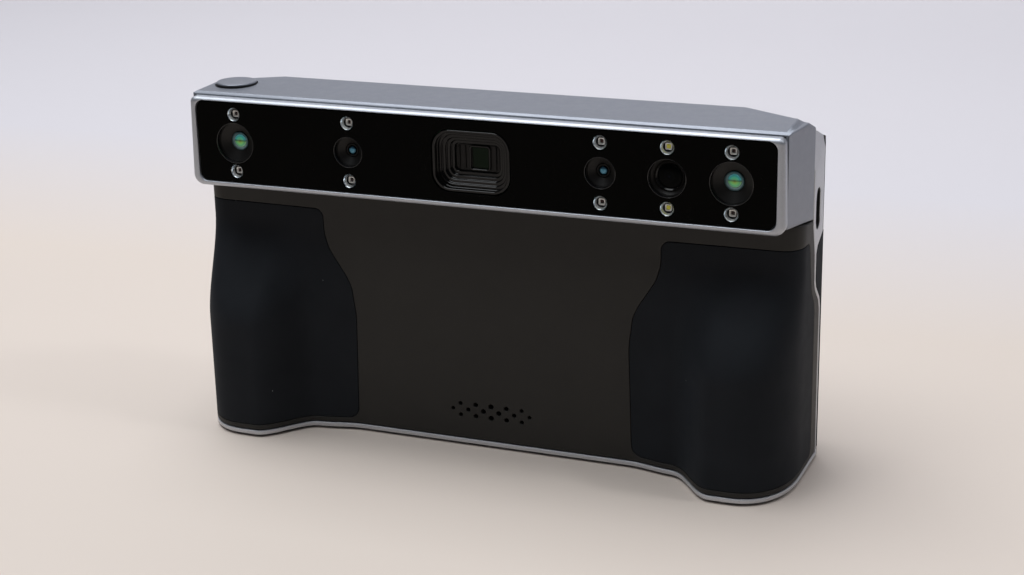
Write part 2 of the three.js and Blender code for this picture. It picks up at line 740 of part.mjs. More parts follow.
// ---------------------------------------------------------------- controls
function controls() {
  const top = ROOF_Z + SCAN.proud;
  const cap = rod("z", [SCAN.x, SCAN.y], SCAN.r, 11, top, 24);
  const flange = rod("z", [SCAN.x, SCAN.y], SCAN.r + SCAN.flange, 10.5, 11.5, 24);
  const stem = rod("z", [SCAN.x, SCAN.y], 1.8, 9.9, 10.6, 8);
  add(optics, "scan_button", cap.add(flange).add(stem), MATERIALS.headPaint);
  const contact = block([SCAN.x - 2.8, SCAN.x + 2.8], [SCAN.y - 2.8, 16.6], [7.9, 8.8]);
  add(optics, "scan_switch", contact, MATERIALS.blackPlastic);
  const { y, z, length, width } = SIDE_PORT;
  const key = prism(pill([y, z], length - 0.6, width - 0.6), "x", -86.4, -82, 4);
  const flangeShape = pill([y, z], length + 1.6, width + 1.2);
  add(optics, "power_button", key.add(prism(flangeShape, "x", -82.8, -81.8, 4)), MATERIALS.headPaint);
  const powerContact = block([-81, -78.6], [y - 2.5, y + 2.5], [z - 3, z + 3]);
  add(optics, "power_switch", powerContact, MATERIALS.blackPlastic);
  const shell = prism(pill([y, z], 8.9, 3.1), "x", 78.6, 86, 4);
  const socket = prism(pill([y, z], 8.3, 2.5), "x", 80, 90, 4);
  const tongue = block([79, 84.6], [y - 0.35, y + 0.35], [z - 3.3, z + 3.3]);
  const body = block([76.5, 79.5], [y - 2, y + 2], [z - 5, z + 5]);
  add(optics, "usb_port", shell.subtract(socket).add(tongue).add(body), MATERIALS.steel);
}

// ---------------------------------------------------------------- inside
function electronics() {
  const chips = [[-20, 8], [12, 14], [30, 7]];
  let board = block([-38, 38], [24, 25.6], [-68, -18]);
  for (const [x, size] of chips) {
    board = board.add(block([x - size, x + size], [21.8, 24.2], [-44 - size, -44 + size]));
  }
  add(optics, "main_board", board, MATERIALS.board);
  add(optics, "heat_spreader", block([-36, 36], [20, 21.5], [-66, -22]), MATERIALS.aluminium);
  const section = [[57, 29.5], [57, 13.5], [62, 9], [66, 4], [76, 4], [80, 10], [80, 29.5]];
  for (const [label, side] of SIDES) {
    const cell = polygon(section.map(([x, y]) => [side * x, y]));
    add(optics, `${label}_battery`, prism(cell, "z", -80, -46), MATERIALS.batteryWrap);
  }
  const cone = rod("y", [0, -74], 5.2, 13, 16.5, 12);
  add(optics, "speaker", cone.add(block([-13, 13], [13.6, 17], [-79, -69])), MATERIALS.blackPlastic);
}

// ---------------------------------------------------------------- screen
const KNUCKLE_X = { cover: 43.2, fixed: [43.6, 55.6], moving: [56.1, 66] };

function sided(range, side) {
  return side > 0 ? range : [-range[1], -range[0]];
}

function fixedKnuckle(x) {
  const barrel = rod("x", [HINGE.y, HINGE.z], HINGE.r, x[0], x[1]);
  return barrel.add(block(x, [REAR_Y + GAP, HINGE.y], [-0.5, 4.8]));
}

function flipScreen() {
  const { half, top, bottom, front, back } = SCREEN;
  const outline = roundedRect(-half, half, bottom, top, 4);
  const pocket = roundedRect(-half + 1.5, half - 1.5, bottom + 1.5, top - 1.5, 3);
  const coverRecess = roundedRect(-half + 4, half - 4, bottom + 4, top - 4, 3);
  let frame = prism(outline, "y", front, back, 3);
  frame = frame.subtract(prism(pocket, "y", 42, 60, 3));
  frame = frame.subtract(prism(coverRecess, "y", 0, 38.7, 3));
  for (const [label, side] of SIDES) {
    const moving = sided(KNUCKLE_X.moving, side);
    const fixed = sided(KNUCKLE_X.fixed, side);
    const span = sided([KNUCKLE_X.fixed[0] + 0.6, KNUCKLE_X.moving[1] - 0.6], side);
    const bore = rod("x", [HINGE.y, HINGE.z], HINGE.bore, span[0] - GAP, span[1] + GAP, 12);
    frame = frame.add(rod("x", [HINGE.y, HINGE.z], HINGE.r, moving[0], moving[1]));
    frame = frame.add(block(moving, [HINGE.y - 3.6, HINGE.y + 3.6], [top - 1, HINGE.z]));
    frame = frame.subtract(bore);
    add(optics, `${label}_hinge_bracket`, fixedKnuckle(fixed).subtract(bore), MATERIALS.headPaint);
    const pin = rod("x", [HINGE.y, HINGE.z], HINGE.pin, span[0], span[1], 12);
    add(optics, `${label}_hinge_pin`, pin, MATERIALS.steel);
  }
  const cable = rod("x", [HINGE.y, HINGE.z], HINGE.r - 1.2, -60, 60, 12);
  const cover = fixedKnuckle([-KNUCKLE_X.cover, KNUCKLE_X.cover]).subtract(cable);
  add(optics, "hinge_cover", cover, MATERIALS.shellPlastic);
  add(screen, "screen_frame", frame, MATERIALS.shellPlastic);
  const backCover = roundedRect(-half + 4.3, half - 4.3, bottom + 4.3, top - 4.3, 2.7);
  add(screen, "screen_back_cover", prism(backCover, "y", front + 0.1, 38.4, 3), MATERIALS.headPaint);
  add(screen, "display_panel", block([-69, 69], [42.3, 44.0], [-75, -6.5]), MATERIALS.display);
  const glass = roundedRect(-half + 1.8, half - 1.8, bottom + 1.8, top - 1.8, 2.7);
  add(screen, "screen_glass", prism(glass, "y", 44.3, 45.5, 3), MATERIALS.blackGlass);
}

cameraHead();
casing();
controls();
electronics();
flipScreen();

const group = new THREE.Group();
group.add(optics);

export default group;
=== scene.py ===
# Looks of the hand-held structured-light scanner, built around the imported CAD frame.
import math

import bmesh
import bpy
import numpy as np
from mathutils import Matrix, Vector
from mathutils.geometry import delaunay_2d_cdt


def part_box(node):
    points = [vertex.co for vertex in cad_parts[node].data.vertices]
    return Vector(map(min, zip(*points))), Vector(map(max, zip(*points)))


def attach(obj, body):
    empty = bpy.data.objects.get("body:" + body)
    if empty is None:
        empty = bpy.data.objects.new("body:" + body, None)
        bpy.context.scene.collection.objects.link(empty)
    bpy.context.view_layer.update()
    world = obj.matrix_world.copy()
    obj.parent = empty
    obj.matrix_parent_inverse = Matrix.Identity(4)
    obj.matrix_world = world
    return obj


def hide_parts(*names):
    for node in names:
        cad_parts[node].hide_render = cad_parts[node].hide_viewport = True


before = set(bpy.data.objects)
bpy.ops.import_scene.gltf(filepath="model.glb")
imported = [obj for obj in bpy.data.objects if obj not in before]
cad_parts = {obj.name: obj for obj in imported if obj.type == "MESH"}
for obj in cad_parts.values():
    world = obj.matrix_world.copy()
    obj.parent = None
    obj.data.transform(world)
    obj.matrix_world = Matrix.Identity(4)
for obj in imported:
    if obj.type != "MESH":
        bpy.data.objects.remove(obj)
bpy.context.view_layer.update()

MM = 0.001

# ---------------------------------------------------------------- datum of the optics frame
# Pieces are drawn in millimetres: X to the right, Y backwards from the front of the window
# glass, Z up from the camera axes.
window_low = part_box("window_glass")[0]
lens_low, lens_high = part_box("far_left_lens")
frame_low, frame_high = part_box("mid_frame")
DATUM = np.array([0, window_low.y, (lens_low.z + lens_high.z) / 2]) / MM
HALF = frame_high.x / MM
BASE_Z = frame_low.z / MM - DATUM[2]
GAP = 0.3


def edges_mm(node, axis):
    """The lowest and highest place of a CAD node along one axis, in the optics frame."""
    low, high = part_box(node)
    return low[axis] / MM - DATUM[axis], high[axis] / MM - DATUM[axis]


def centre_mm(node):
    return [sum(edges_mm(node, axis)) / 2 for axis in range(3)]


# ---------------------------------------------------------------- materials
class Finish:
    """A Principled material whose colour, roughness and bump come from procedural nodes."""

    def __init__(self, name, roughness, metallic=0.0, **sockets):
        self.material = bpy.data.materials.new(name)
        self.material.use_nodes = True
        self.nodes = self.material.node_tree.nodes
        self.links = self.material.node_tree.links
        self.shader = self.nodes["Principled BSDF"]
        self.shader.inputs["Roughness"].default_value = roughness
        self.shader.inputs["Metallic"].default_value = metallic
        for socket, value in sockets.items():
            self.shader.inputs[socket.replace("_", " ")].default_value = value
        self.place = self.nodes.new("ShaderNodeTexCoord").outputs["Object"]

    def noise(self, scale, detail=2.0, roughness=0.5, stretch=None):
        node = self.nodes.new("ShaderNodeTexNoise")
        node.inputs["Scale"].default_value = scale
        node.inputs["Detail"].default_value = detail
        node.inputs["Roughness"].default_value = roughness
        place = self.place
        if stretch:
            mapping = self.nodes.new("ShaderNodeMapping")
            mapping.inputs["Scale"].default_value = stretch
            self.links.new(place, mapping.inputs["Vector"])
            place = mapping.outputs["Vector"]
        self.links.new(place, node.inputs["Vector"])
        return node.outputs["Fac"]

    def ramp(self, factor, stops):
        node = self.nodes.new("ShaderNodeValToRGB")
        ramp = node.color_ramp
        while len(ramp.elements) < len(stops):
            ramp.elements.new(0.5)
        for element, (position, colour) in zip(ramp.elements, stops):
            element.position = position
            element.color = (*colour, 1)
        self.links.new(factor, node.inputs["Fac"])
        return node.outputs["Color"]

    def math(self, operation, a, b):
        node = self.nodes.new("ShaderNodeMath")
        node.operation = operation
        for value, socket in zip((a, b), node.inputs):
            if isinstance(value, (int, float)):
                socket.default_value = value
            else:
                self.links.new(value, socket)
        return node.outputs["Value"]

    def mix(self, factor, a, b):
        node = self.nodes.new("ShaderNodeMix")
        node.data_type = "RGBA"
        self.links.new(factor, node.inputs["Factor"])
        for value, socket in ((a, node.inputs[6]), (b, node.inputs[7])):
            if isinstance(value, tuple):
                socket.default_value = (*value, 1)
            else:
                self.links.new(value, socket)
        return node.outputs[2]

    def specks(self, scale, share, size):
        """Sparse round specks: 1 inside a speck and 0 elsewhere."""
        node = self.nodes.new("ShaderNodeTexVoronoi")
        node.inputs["Scale"].default_value = scale
        self.links.new(self.place, node.inputs["Vector"])
        near = self.math("LESS_THAN", node.outputs["Distance"], size)
        split = self.nodes.new("ShaderNodeSeparateColor")
        self.links.new(node.outputs["Color"], split.inputs["Color"])
        chosen = self.math("LESS_THAN", split.outputs["Red"], share)
        return self.math("MULTIPLY", near, chosen)

    def colour(self, output):
        self.links.new(output, self.shader.inputs["Base Color"])
        return self

    def gloss(self, factor, low, high):
        spread = self.math("MULTIPLY", factor, high - low)
        self.links.new(self.math("ADD", spread, low), self.shader.inputs["Roughness"])
        return self

    def bump(self, height, strength, distance):
        node = self.nodes.new("ShaderNodeBump")
        node.inputs["Strength"].default_value = strength
        node.inputs["Distance"].default_value = distance * MM
        self.links.new(height, node.inputs["Height"])
        self.links.new(node.outputs["Normal"], self.shader.inputs["Normal"])
        return self


def shades(colour, spread):
    """A darker and a lighter shade of one colour, as ramp stops."""
    dark = tuple(c * (1 - spread) for c in colour)
    light = tuple(min(1.0, c * (1 + spread)) for c in colour)
    return [(0.3, dark), (0.7, light)]


def metal_paint(name, colour, roughness, metallic):
    """Satin metallic finish: fine flakes, soft clouds and a light blasted grain."""
    f = Finish(name, roughness, metallic)
    flakes = f.ramp(f.noise(5200, 1, 0.6), shades(colour, 0.16))
    clouds = f.ramp(f.noise(38, 3), shades(colour, 0.05))
    f.colour(f.mix(f.noise(900, 1), flakes, clouds))
    f.gloss(f.noise(420, 3), roughness - 0.05, roughness + 0.07)
    return f.bump(f.noise(3600, 2, 0.6), 0.10, 0.02).material


def textured_plastic(name, colour, roughness, grain, depth):
    f = Finish(name, roughness)
    f.shader.inputs["Specular IOR Level"].default_value = 0.3
    f.colour(f.ramp(f.noise(55, 4), shades(colour, 0.07)))
    f.gloss(f.noise(300, 3), roughness - 0.05, roughness + 0.06)
    return f.bump(f.noise(grain, 3, 0.65), 0.35, depth).material


def soft_rubber(name, colour):
    """Soft-touch silicone: matt, with a faint bloom and a few specks of dust."""
    f = Finish(name, 0.6, Sheen_Weight=0.02, Sheen_Roughness=0.5)
    f.shader.inputs["Specular IOR Level"].default_value = 0.07
    f.shader.inputs["Sheen Tint"].default_value = (0.55, 0.68, 0.85, 1)
    body = f.ramp(f.noise(70, 4), shades(colour, 0.10))
    dust = f.specks(480, 0.05, 0.065)
    f.colour(f.mix(dust, body, (0.25, 0.27, 0.28)))
    f.gloss(f.noise(240, 3), 0.60, 0.74)
    return f.bump(f.noise(2600, 3, 0.6), 0.25, 0.02).material


def dark_glass(name, colour, level):
    f = Finish(name, 0.05, IOR=1.5)
    f.shader.inputs["Specular IOR Level"].default_value = level
    dust = f.specks(420, 0.006, 0.07)
    f.colour(f.mix(dust, f.ramp(f.noise(60, 2), shades(colour, 0.15)), (0.10, 0.12, 0.12)))
    return f.gloss(f.noise(90, 4), 0.03, 0.09).material


def turned_metal(name, colour, roughness):
    f = Finish(name, roughness, 1.0)
    f.colour(f.ramp(f.noise(900, 2), shades(colour, 0.10)))
    f.gloss(f.noise(500, 3), roughness - 0.06, roughness + 0.10)
    return f.bump(f.noise(2400, 2, 0.5, (1, 1, 6)), 0.08, 0.02).material


def moulded(name, colour, roughness, **sockets):
    f = Finish(name, roughness, **sockets)
    f.colour(f.ramp(f.noise(400, 3), shades(colour, 0.15)))
    f.gloss(f.noise(700, 2), roughness - 0.05, roughness + 0.08)
    return f.bump(f.noise(3000, 2), 0.15, 0.01).material


def circuit_board(name):
    """Green resist over copper tracks, with pale component marks."""
    f = Finish(name, 0.45)
    brick = f.nodes.new("ShaderNodeTexBrick")
    brick.inputs["Scale"].default_value = 260
    brick.inputs["Color1"].default_value = (0.02, 0.10, 0.045, 1)
    brick.inputs["Color2"].default_value = (0.025, 0.13, 0.06, 1)
    brick.inputs["Mortar"].default_value = (0.06, 0.20, 0.09, 1)
    f.links.new(f.place, brick.inputs["Vector"])
    return f.colour(brick.outputs["Color"]).bump(f.noise(1500), 0.1, 0.02).material


# Painted reflection on a coated lens from its bottom to its top: green-yellow, a dark band,
# blue-green.
FLARE = [(0.15, (1.0, 1.0, 0.55)), (0.42, (0.9, 0.85, 0.35)), (0.52, (0.25, 0.25, 0.2)),
         (0.62, (0.5, 0.9, 0.9)), (0.85, (0.55, 1.0, 1.0))]
# Painted light on a lens rim, palest at its foot, and a painted highlight on a small lens, as if
# lit from below.
HALO = [(0.0, (1.0, 1.0, 1.0)), (0.5, (0.55, 0.65, 0.66)), (1.0, (0.25, 0.36, 0.40))]
GLINT = [(0.3, (1.0, 1.0, 1.0)), (0.6, (0.9, 0.95, 1.0)), (0.75, (0.2, 0.25, 0.3))]


def coated_glass(name, centre, radius, stops, painted_light, coat):
    """A coated lens: rings of colour round its axis along Y, multiplied by painted light that
    changes from the lens's foot to its top.
    """
    f = Finish(name, 0.08, Coat_Weight=coat, Coat_Roughness=0.02)
    f.shader.inputs["Specular IOR Level"].default_value = coat / 2
    offset = f.nodes.new("ShaderNodeVectorMath")
    offset.operation = "SUBTRACT"
    offset.inputs[1].default_value = (Vector(centre) + Vector(DATUM)) * MM
    f.links.new(f.place, offset.inputs[0])
    flat = f.nodes.new("ShaderNodeVectorMath")
    flat.operation = "MULTIPLY"
    flat.inputs[1].default_value = (1, 0, 1)
    f.links.new(offset.outputs["Vector"], flat.inputs[0])
    length = f.nodes.new("ShaderNodeVectorMath")
    length.operation = "LENGTH"
    f.links.new(flat.outputs["Vector"], length.inputs[0])
    share = f.math("DIVIDE", length.outputs["Value"], radius * MM)
    wobble = f.math("MULTIPLY", f.noise(900, 1), 0.12)
    rings = f.ramp(f.math("ADD", share, f.math("SUBTRACT", wobble, 0.06)), stops)
    split = f.nodes.new("ShaderNodeSeparateXYZ")
    f.links.new(flat.outputs["Vector"], split.inputs["Vector"])
    # Painted light: the height on the lens picks a painted reflection colour, from foot to top.
    height = f.math("ADD", f.math("DIVIDE", split.outputs["Z"], 2 * radius * MM), 0.5)
    node = f.nodes.new("ShaderNodeMix")
    node.data_type = "RGBA"
    node.blend_type = "MULTIPLY"
    node.inputs["Factor"].default_value = 1
    f.links.new(rings, node.inputs[6])
    f.links.new(f.ramp(height, painted_light), node.inputs[7])
    f.colour(node.outputs[2])
    return f.material


PAINT = metal_paint("head_paint", (0.225, 0.24, 0.275), 0.38, 0.55)
BEZEL = metal_paint("bezel_metal", (0.45, 0.47, 0.51), 0.45, 0.80)
LIGHT_METAL = metal_paint("frame_metal", (0.58, 0.59, 0.62), 0.44, 0.65)
SHELL = textured_plastic("shell_plastic", (0.0185, 0.0172, 0.0152), 0.56, 2300, 0.03)
RUBBER = soft_rubber("grip_rubber", (0.0142, 0.0160, 0.0190))
GLASS = dark_glass("black_glass", (0.0009, 0.0009, 0.0007), 0.03)
DISPLAY = dark_glass("display_glass", (0.004, 0.0045, 0.005), 0.5)
BLACK = moulded("black_plastic", (0.010, 0.010, 0.0105), 0.42)
BARREL = moulded("barrel_black", (0.0080, 0.0072, 0.0064), 0.42, Specular_IOR_Level=0.25)
GLOSSY = moulded("polished_black", (0.0030, 0.0029, 0.0027), 0.13, Specular_IOR_Level=0.28)
RIM = moulded("polished_rim", (0.008, 0.008, 0.009), 0.14, Specular_IOR_Level=0.7)
CHROME = turned_metal("reflector", (0.84, 0.91, 1.0), 0.27)
STEEL = turned_metal("steel", (0.42, 0.43, 0.44), 0.32)
BRASS = turned_metal("brass", (0.55, 0.38, 0.15), 0.34)
ALUMINIUM = turned_metal("aluminium", (0.56, 0.57, 0.58), 0.38)
CERAMIC = moulded("ceramic", (0.97, 0.92, 0.84), 0.3)
DIE = moulded("infrared_die", (0.030, 0.006, 0.005), 0.12)
PHOSPHOR = moulded("phosphor", (0.80, 0.76, 0.10), 0.55)
BOARD = circuit_board("board")
WRAP = moulded("battery_wrap", (0.03, 0.10, 0.24), 0.35)
TINTED = dark_glass("projector_glass", (0.003, 0.012, 0.004), 0.08)


# ---------------------------------------------------------------- mesh kit
def finished(name, obj_mesh, material, body, nodes, sharp=35):
    """Turns a mesh in metres into a shaded piece that rides on a body."""
    bm = bmesh.new()
    bm.from_mesh(obj_mesh)
    bmesh.ops.recalc_face_normals(bm, faces=bm.faces)
    bm.to_mesh(obj_mesh)
    bm.free()
    obj_mesh.shade_smooth()
    obj_mesh.set_sharp_from_angle(angle=math.radians(sharp))
    obj_mesh.materials.clear()
    obj_mesh.materials.append(material)
    obj = bpy.data.objects.new(name, obj_mesh)
    bpy.context.scene.collection.objects.link(obj)
    even = obj.modifiers.new("even_normals", "WEIGHTED_NORMAL")
    even.keep_sharp = True
    even.weight = 60
    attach(obj, body)
    if nodes:
        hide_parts(*nodes)
    return obj


def mesh_of(name, points, faces):
    """A mesh from points in the optics frame, in millimetres."""
    mesh = bpy.data.meshes.new(name)
    mesh.from_pydata(((np.asarray(points) + DATUM) * MM).tolist(), [], faces)
    return mesh


def filleted(points, radius, closed=True, steps=5):
    """The line with each corner rounded. radius is one number, or one for each corner."""
    points = [np.array(p, float) for p in points]
    count = len(points)
    radii = radius if hasattr(radius, "__len__") else [radius] * count
    out = []
    for i, corner in enumerate(points):
        if radii[i] <= 0 or (not closed and i in (0, count - 1)):
            out.append(corner)
            continue
        to_last = points[i - 1] - corner
        to_next = points[(i + 1) % count] - corner
        last, following = np.linalg.norm(to_last), np.linalg.norm(to_next)
        to_last, to_next = to_last / last, to_next / following
        angle = math.acos(np.clip(to_last @ to_next, -1, 1))
        if angle > math.pi - 0.03:
            out.append(corner)
            continue
        cut = min(radii[i] / math.tan(angle / 2), 0.48 * min(last, following))
        middle = to_last + to_next
        middle /= np.linalg.norm(middle)
        centre = corner + middle * cut / math.cos(angle / 2)
        start = corner + to_last * cut - centre
        end = corner + to_next * cut - centre
        sweep = math.pi - angle
        for k in range(steps + 1):
            t = k / steps
            arc = start * math.sin((1 - t) * sweep) + end * math.sin(t * sweep)
            out.append(centre + arc / math.sin(sweep))
    return np.array(out)


def rounded_rect(x0, x1, y0, y1, radius, steps=10):
    return filleted([(x0, y0), (x1, y0), (x1, y1), (x0, y1)], radius, steps=steps)


def circle(x, y, radius, count):
    turn = np.arange(count) / count * 2 * math.pi
    return np.stack([x + radius * np.cos(turn), y + radius * np.sin(turn)], 1)


def divided(loop, step):
    """A closed line with no stretch longer than a step and no doubled point."""
    out = []
    for a, b in zip(loop, np.roll(loop, -1, 0)):
        length = np.linalg.norm(b - a)
        if length < 1e-4:
            continue
        parts = max(1, math.ceil(length / step))
        out += [a + (b - a) * k / parts for k in range(parts)]
    return np.array(out)


def grown(loop, distance):
    """A closed anticlockwise line moved outwards by a distance."""
    ahead = np.roll(loop, -1, 0) - np.roll(loop, 1, 0)
    ahead /= np.linalg.norm(ahead, axis=1)[:, None]
    return loop + distance * np.stack([ahead[:, 1], -ahead[:, 0]], 1)


def distance_to(points, loop):
    """How far each point is from a closed line."""
    a, b = loop, np.roll(loop, -1, 0)
    along = b - a
    square = (along * along).sum(1)
    nearest = np.full(len(points), np.inf)
    for start in range(0, len(points), 2000):
        part = points[start:start + 2000, None, :]
        t = np.clip(((part - a) * along).sum(2) / square, 0, 1)
        gap = part - (a + t[..., None] * along)
        nearest[start:start + 2000] = np.sqrt((gap * gap).sum(2)).min(1)
    return nearest


def inside_of(points, loops):
    """Which points are inside the first loop and outside the holes."""
    crossings = np.zeros(len(points), int)
    for loop in loops:
        for a, b in zip(loop, np.roll(loop, -1, 0)):
            spans = (a[1] > points[:, 1]) != (b[1] > points[:, 1])
            rise = b[1] - a[1] if b[1] != a[1] else 1.0
            at = a[0] + (points[:, 1] - a[1]) * (b[0] - a[0]) / rise
            crossings += spans & (points[:, 0] < at)
    return crossings % 2 == 1


ROUNDING = [0, 0.25, 0.5, 0.75, 1]


def skin(name, outline, holes, surface, thickness, edge, step, material, nodes=(),
         body="root", hole_edge=None, back_edge=0.0, wall_step=None):
    """A closed plate. Its outline and holes are closed lines on a flat sheet, and
    surface(points, depth) lays the sheet in space at a depth below its outer face.
    edge is the rounding of the outline, and hole_edge that of the holes."""
    wall_step = wall_step or step
    hole_edge = edge if hole_edge is None else hole_edge
    loops = [divided(outline, wall_step)] + [divided(h[::-1], wall_step) for h in holes]
    radii = [edge] + [hole_edge] * len(holes)
    points, links = [], []
    for loop, radius in zip(loops, radii):
        for share in ROUNDING if radius > 0 else [0]:
            inward = radius * (1 - math.cos(share * math.pi / 2))
            ring = grown(loop, -inward)
            base = len(points)
            points += list(ring)
            links += [(base + i, base + (i + 1) % len(ring)) for i in range(len(ring))]
    low, high = loops[0].min(0), loops[0].max(0)
    counts = np.maximum(2, np.ceil((high - low) / step)).astype(int)
    grid = np.stack(np.meshgrid(*[np.linspace(low[k], high[k], counts[k] + 1)
                                  for k in (0, 1)]), -1).reshape(-1, 2)
    grid = grid[inside_of(grid, loops)]
    for loop, radius in zip(loops, radii):
        grid = grid[distance_to(grid, loop) > radius + 0.45 * min(step, wall_step)]
    points += list(grid)
    result = delaunay_2d_cdt([Vector(p) for p in points], links, [], 0, 1e-4, False)
    flat = np.array([tuple(v) for v in result[0]])
    faces = np.array([f for f in result[2] if len(f) == 3])
    faces = faces[inside_of(flat[faces].mean(1), loops)]
    used, faces = np.unique(faces, return_inverse=True)
    flat, faces = flat[used], faces.reshape(-1, 3)
    depth = np.zeros(len(flat))
    back = np.zeros(len(flat))
    for loop, radius in zip(loops, radii):
        gap = distance_to(flat, loop)
        for value, size in ((depth, radius), (back, back_edge)):
            if size > 0:
                share = 1 - np.clip(gap / size, 0, 1)
                np.maximum(value, size - size * np.sqrt(1 - share * share), out=value)
    front = surface(flat, depth)
    rear = surface(flat, thickness - back)
    count = len(flat)
    sides = np.concatenate([faces[:, [0, 1]], faces[:, [1, 2]], faces[:, [2, 0]]])
    once = set(map(tuple, sides.tolist()))
    rim = [(b, a, a + count, b + count) for a, b in once if (b, a) not in once]
    every = faces.tolist() + (faces[:, ::-1] + count).tolist() + rim
    mesh = mesh_of(name, np.concatenate([front, rear]), every)
    return finished(name, mesh, material, body, nodes)


def facing_front(y):
    return lambda p, depth: np.stack([p[:, 0], y + depth, p[:, 1]], 1)


def facing_back(y):
    return lambda p, depth: np.stack([p[:, 0], y - depth, p[:, 1]], 1)


def facing_down(z):
    return lambda p, depth: np.stack([p[:, 0], p[:, 1], z + depth], 1)


def turned(name, profile, centre, axis, material, nodes=(), body="root", count=64, sharp=35):
    """A piece turned round an axis. Profile: (radius, place along the axis) pairs,
    starting and ending on the axis, or closing on itself."""
    points, rings = [], []
    for radius, along in profile:
        if radius < 1e-6:
            rings.append([len(points)] * count)
            points.append((0, 0, along))
            continue
        rings.append(list(range(len(points), len(points) + count)))
        for a, b in circle(0, 0, radius, count):
            points.append((a, b, along))
    faces = []
    for one, two in zip(rings, rings[1:] + rings[:1]):
        for i in range(count):
            j = (i + 1) % count
            face = list(dict.fromkeys([one[i], one[j], two[j], two[i]]))
            if len(face) > 2:
                faces.append(face)
    order = {"x": [2, 0, 1], "y": [0, 2, 1], "z": [0, 1, 2]}[axis]
    placed = np.array(points)[:, order] + np.array(centre, float)
    return finished(name, mesh_of(name, placed, faces), material, body, nodes, sharp)


def swept(name, profile, outline, lay, material, nodes=(), body="root", sharp=35):
    """A ring or dish: outline(inset) is a closed line of a fixed number of points, and
    profile is a closed line of (inset, depth) pairs."""
    rings = [outline(inset) for inset, _ in profile]
    count = len(rings[0])
    points = [lay(ring, np.full(count, depth)) for ring, (_, depth) in zip(rings, profile)]
    faces = []
    for level in range(len(profile)):
        for i in range(count):
            j = (i + 1) % count
            a, b = level * count, (level + 1) % len(profile) * count
            faces.append([a + i, a + j, b + j, b + i])
    mesh = mesh_of(name, np.concatenate(points), faces)
    return finished(name, mesh, material, body, nodes, sharp)


def soft_box(name, x, y, z, radius, material, nodes=(), body="root"):
    """A box with rounded edges, between pairs of places in millimetres."""
    bm = bmesh.new()
    bmesh.ops.create_cube(bm, size=1)
    for vertex in bm.verts:
        spans = (x, y, z)
        vertex.co = [(s[0] if c < 0 else s[1]) for c, s in zip(vertex.co, spans)]
    bmesh.ops.bevel(bm, geom=bm.edges[:], offset=radius, segments=3, profile=0.5, affect="EDGES")
    for vertex in bm.verts:
        vertex.co = (vertex.co + Vector(DATUM)) * MM
    mesh = bpy.data.meshes.new(name)
    bm.to_mesh(mesh)
    bm.free()
    return finished(name, mesh, material, body, nodes)


def rounded_copy(name, node, radius, material, body="root", cuts=(), least=4.0):
    """The CAD node's own shape with its outer edges rounded. A cut is an axis, the side that
    goes and a place; least is the shortest edge that is rounded, as a number of radii."""
    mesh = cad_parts[node].data.copy()
    mesh.name = name
    bm = bmesh.new()
    bm.from_mesh(mesh)
    bmesh.ops.remove_doubles(bm, verts=bm.verts, dist=2e-6)
    for axis, side, place in cuts:
        normal = Vector([side if k == axis else 0 for k in range(3)])
        point = Vector([(place + DATUM[axis]) * MM if k == axis else 0 for k in range(3)])
        cut = bmesh.ops.bisect_plane(bm, geom=bm.verts[:] + bm.edges[:] + bm.faces[:],
                                     plane_co=point, plane_no=normal, clear_outer=True)
        rim = [e for e in cut["geom_cut"] if isinstance(e, bmesh.types.BMEdge)]
        bmesh.ops.triangle_fill(bm, use_beauty=True, use_dissolve=False, edges=rim)
    bmesh.ops.recalc_face_normals(bm, faces=bm.faces)
    corners = [[limit(v.co[k] for v in bm.verts) for k in range(3)] for limit in (min, max)]
    chosen = [e for e in bm.edges if e.is_manifold and e.is_convex
              and e.calc_face_angle(0) > math.radians(24) and e.calc_length() > least * radius * MM]
    bmesh.ops.bevel(bm, geom=chosen, offset=radius * MM, segments=3, profile=0.5,
                    affect="EDGES", clamp_overlap=False, miter_outer="ARC")
    for vertex in bm.verts:
        vertex.co = [min(max(c, low), high) for c, low, high in zip(vertex.co, *corners)]
    bm.to_mesh(mesh)
    bm.free()
    return finished(name, mesh, material, body, [node], 30)


# ---------------------------------------------------------------- outline of the body
PANEL_Y = 9.2
GRIP_BULGE = 14.5
GRIP_TOP_Z = -24.0
GRIP_FULL_Z = -52.0
REAR_Y = 36.8
REAR_CORNER = 3.5
CORNER_SLIM = (6, 6.5)
CORNER_FULL = (15, 20.5)
CORNER_POWER = 2 / 2.3
# The front swells into the grip in two soft steps: start, width and share of the bulge.
FLANK_STEPS = [(40, 14, 0.16), (53, 14, 0.84)]
HEAD_FLOOR_Z = -11.2
HEAD_FLOOR_SLOPE = 0.127

# Lengths of the stretches of the half outline on the flat sheet, from the middle of the panel.
FRONT_RUN = 71.5
CORNER_RUN = 29.0
SIDE_RUN = 18.1
REAR_RUN = REAR_CORNER * math.pi / 2
SIDE_START = FRONT_RUN + CORNER_RUN
REAR_START = SIDE_START + SIDE_RUN
BACK_START = REAR_START + REAR_RUN


def smooth(value):
    t = np.clip(value, 0, 1)
    return t * t * (3 - 2 * t)


def corner_table():
    """Turns of the grip's corner at even steps along it."""
    turn = np.linspace(0, math.pi / 2, 400)
    x = CORNER_FULL[0] * np.sin(turn) ** CORNER_POWER
    y = -CORNER_FULL[1] * np.cos(turn) ** CORNER_POWER
    run = np.concatenate([[0], np.cumsum(np.hypot(np.diff(x), np.diff(y)))])
    return run / run[-1], turn


CORNER_SHARE, CORNER_TURN = corner_table()


def section(z):
    """Share of the grip, width and depth of the corner, and place of the front at a height."""
    grip = smooth((GRIP_TOP_Z - z) / (GRIP_TOP_Z - GRIP_FULL_Z))
    wide, deep = (slim + (full - slim) * grip for slim, full in zip(CORNER_SLIM, CORNER_FULL))
    return grip, wide, deep, PANEL_Y - GRIP_BULGE * grip


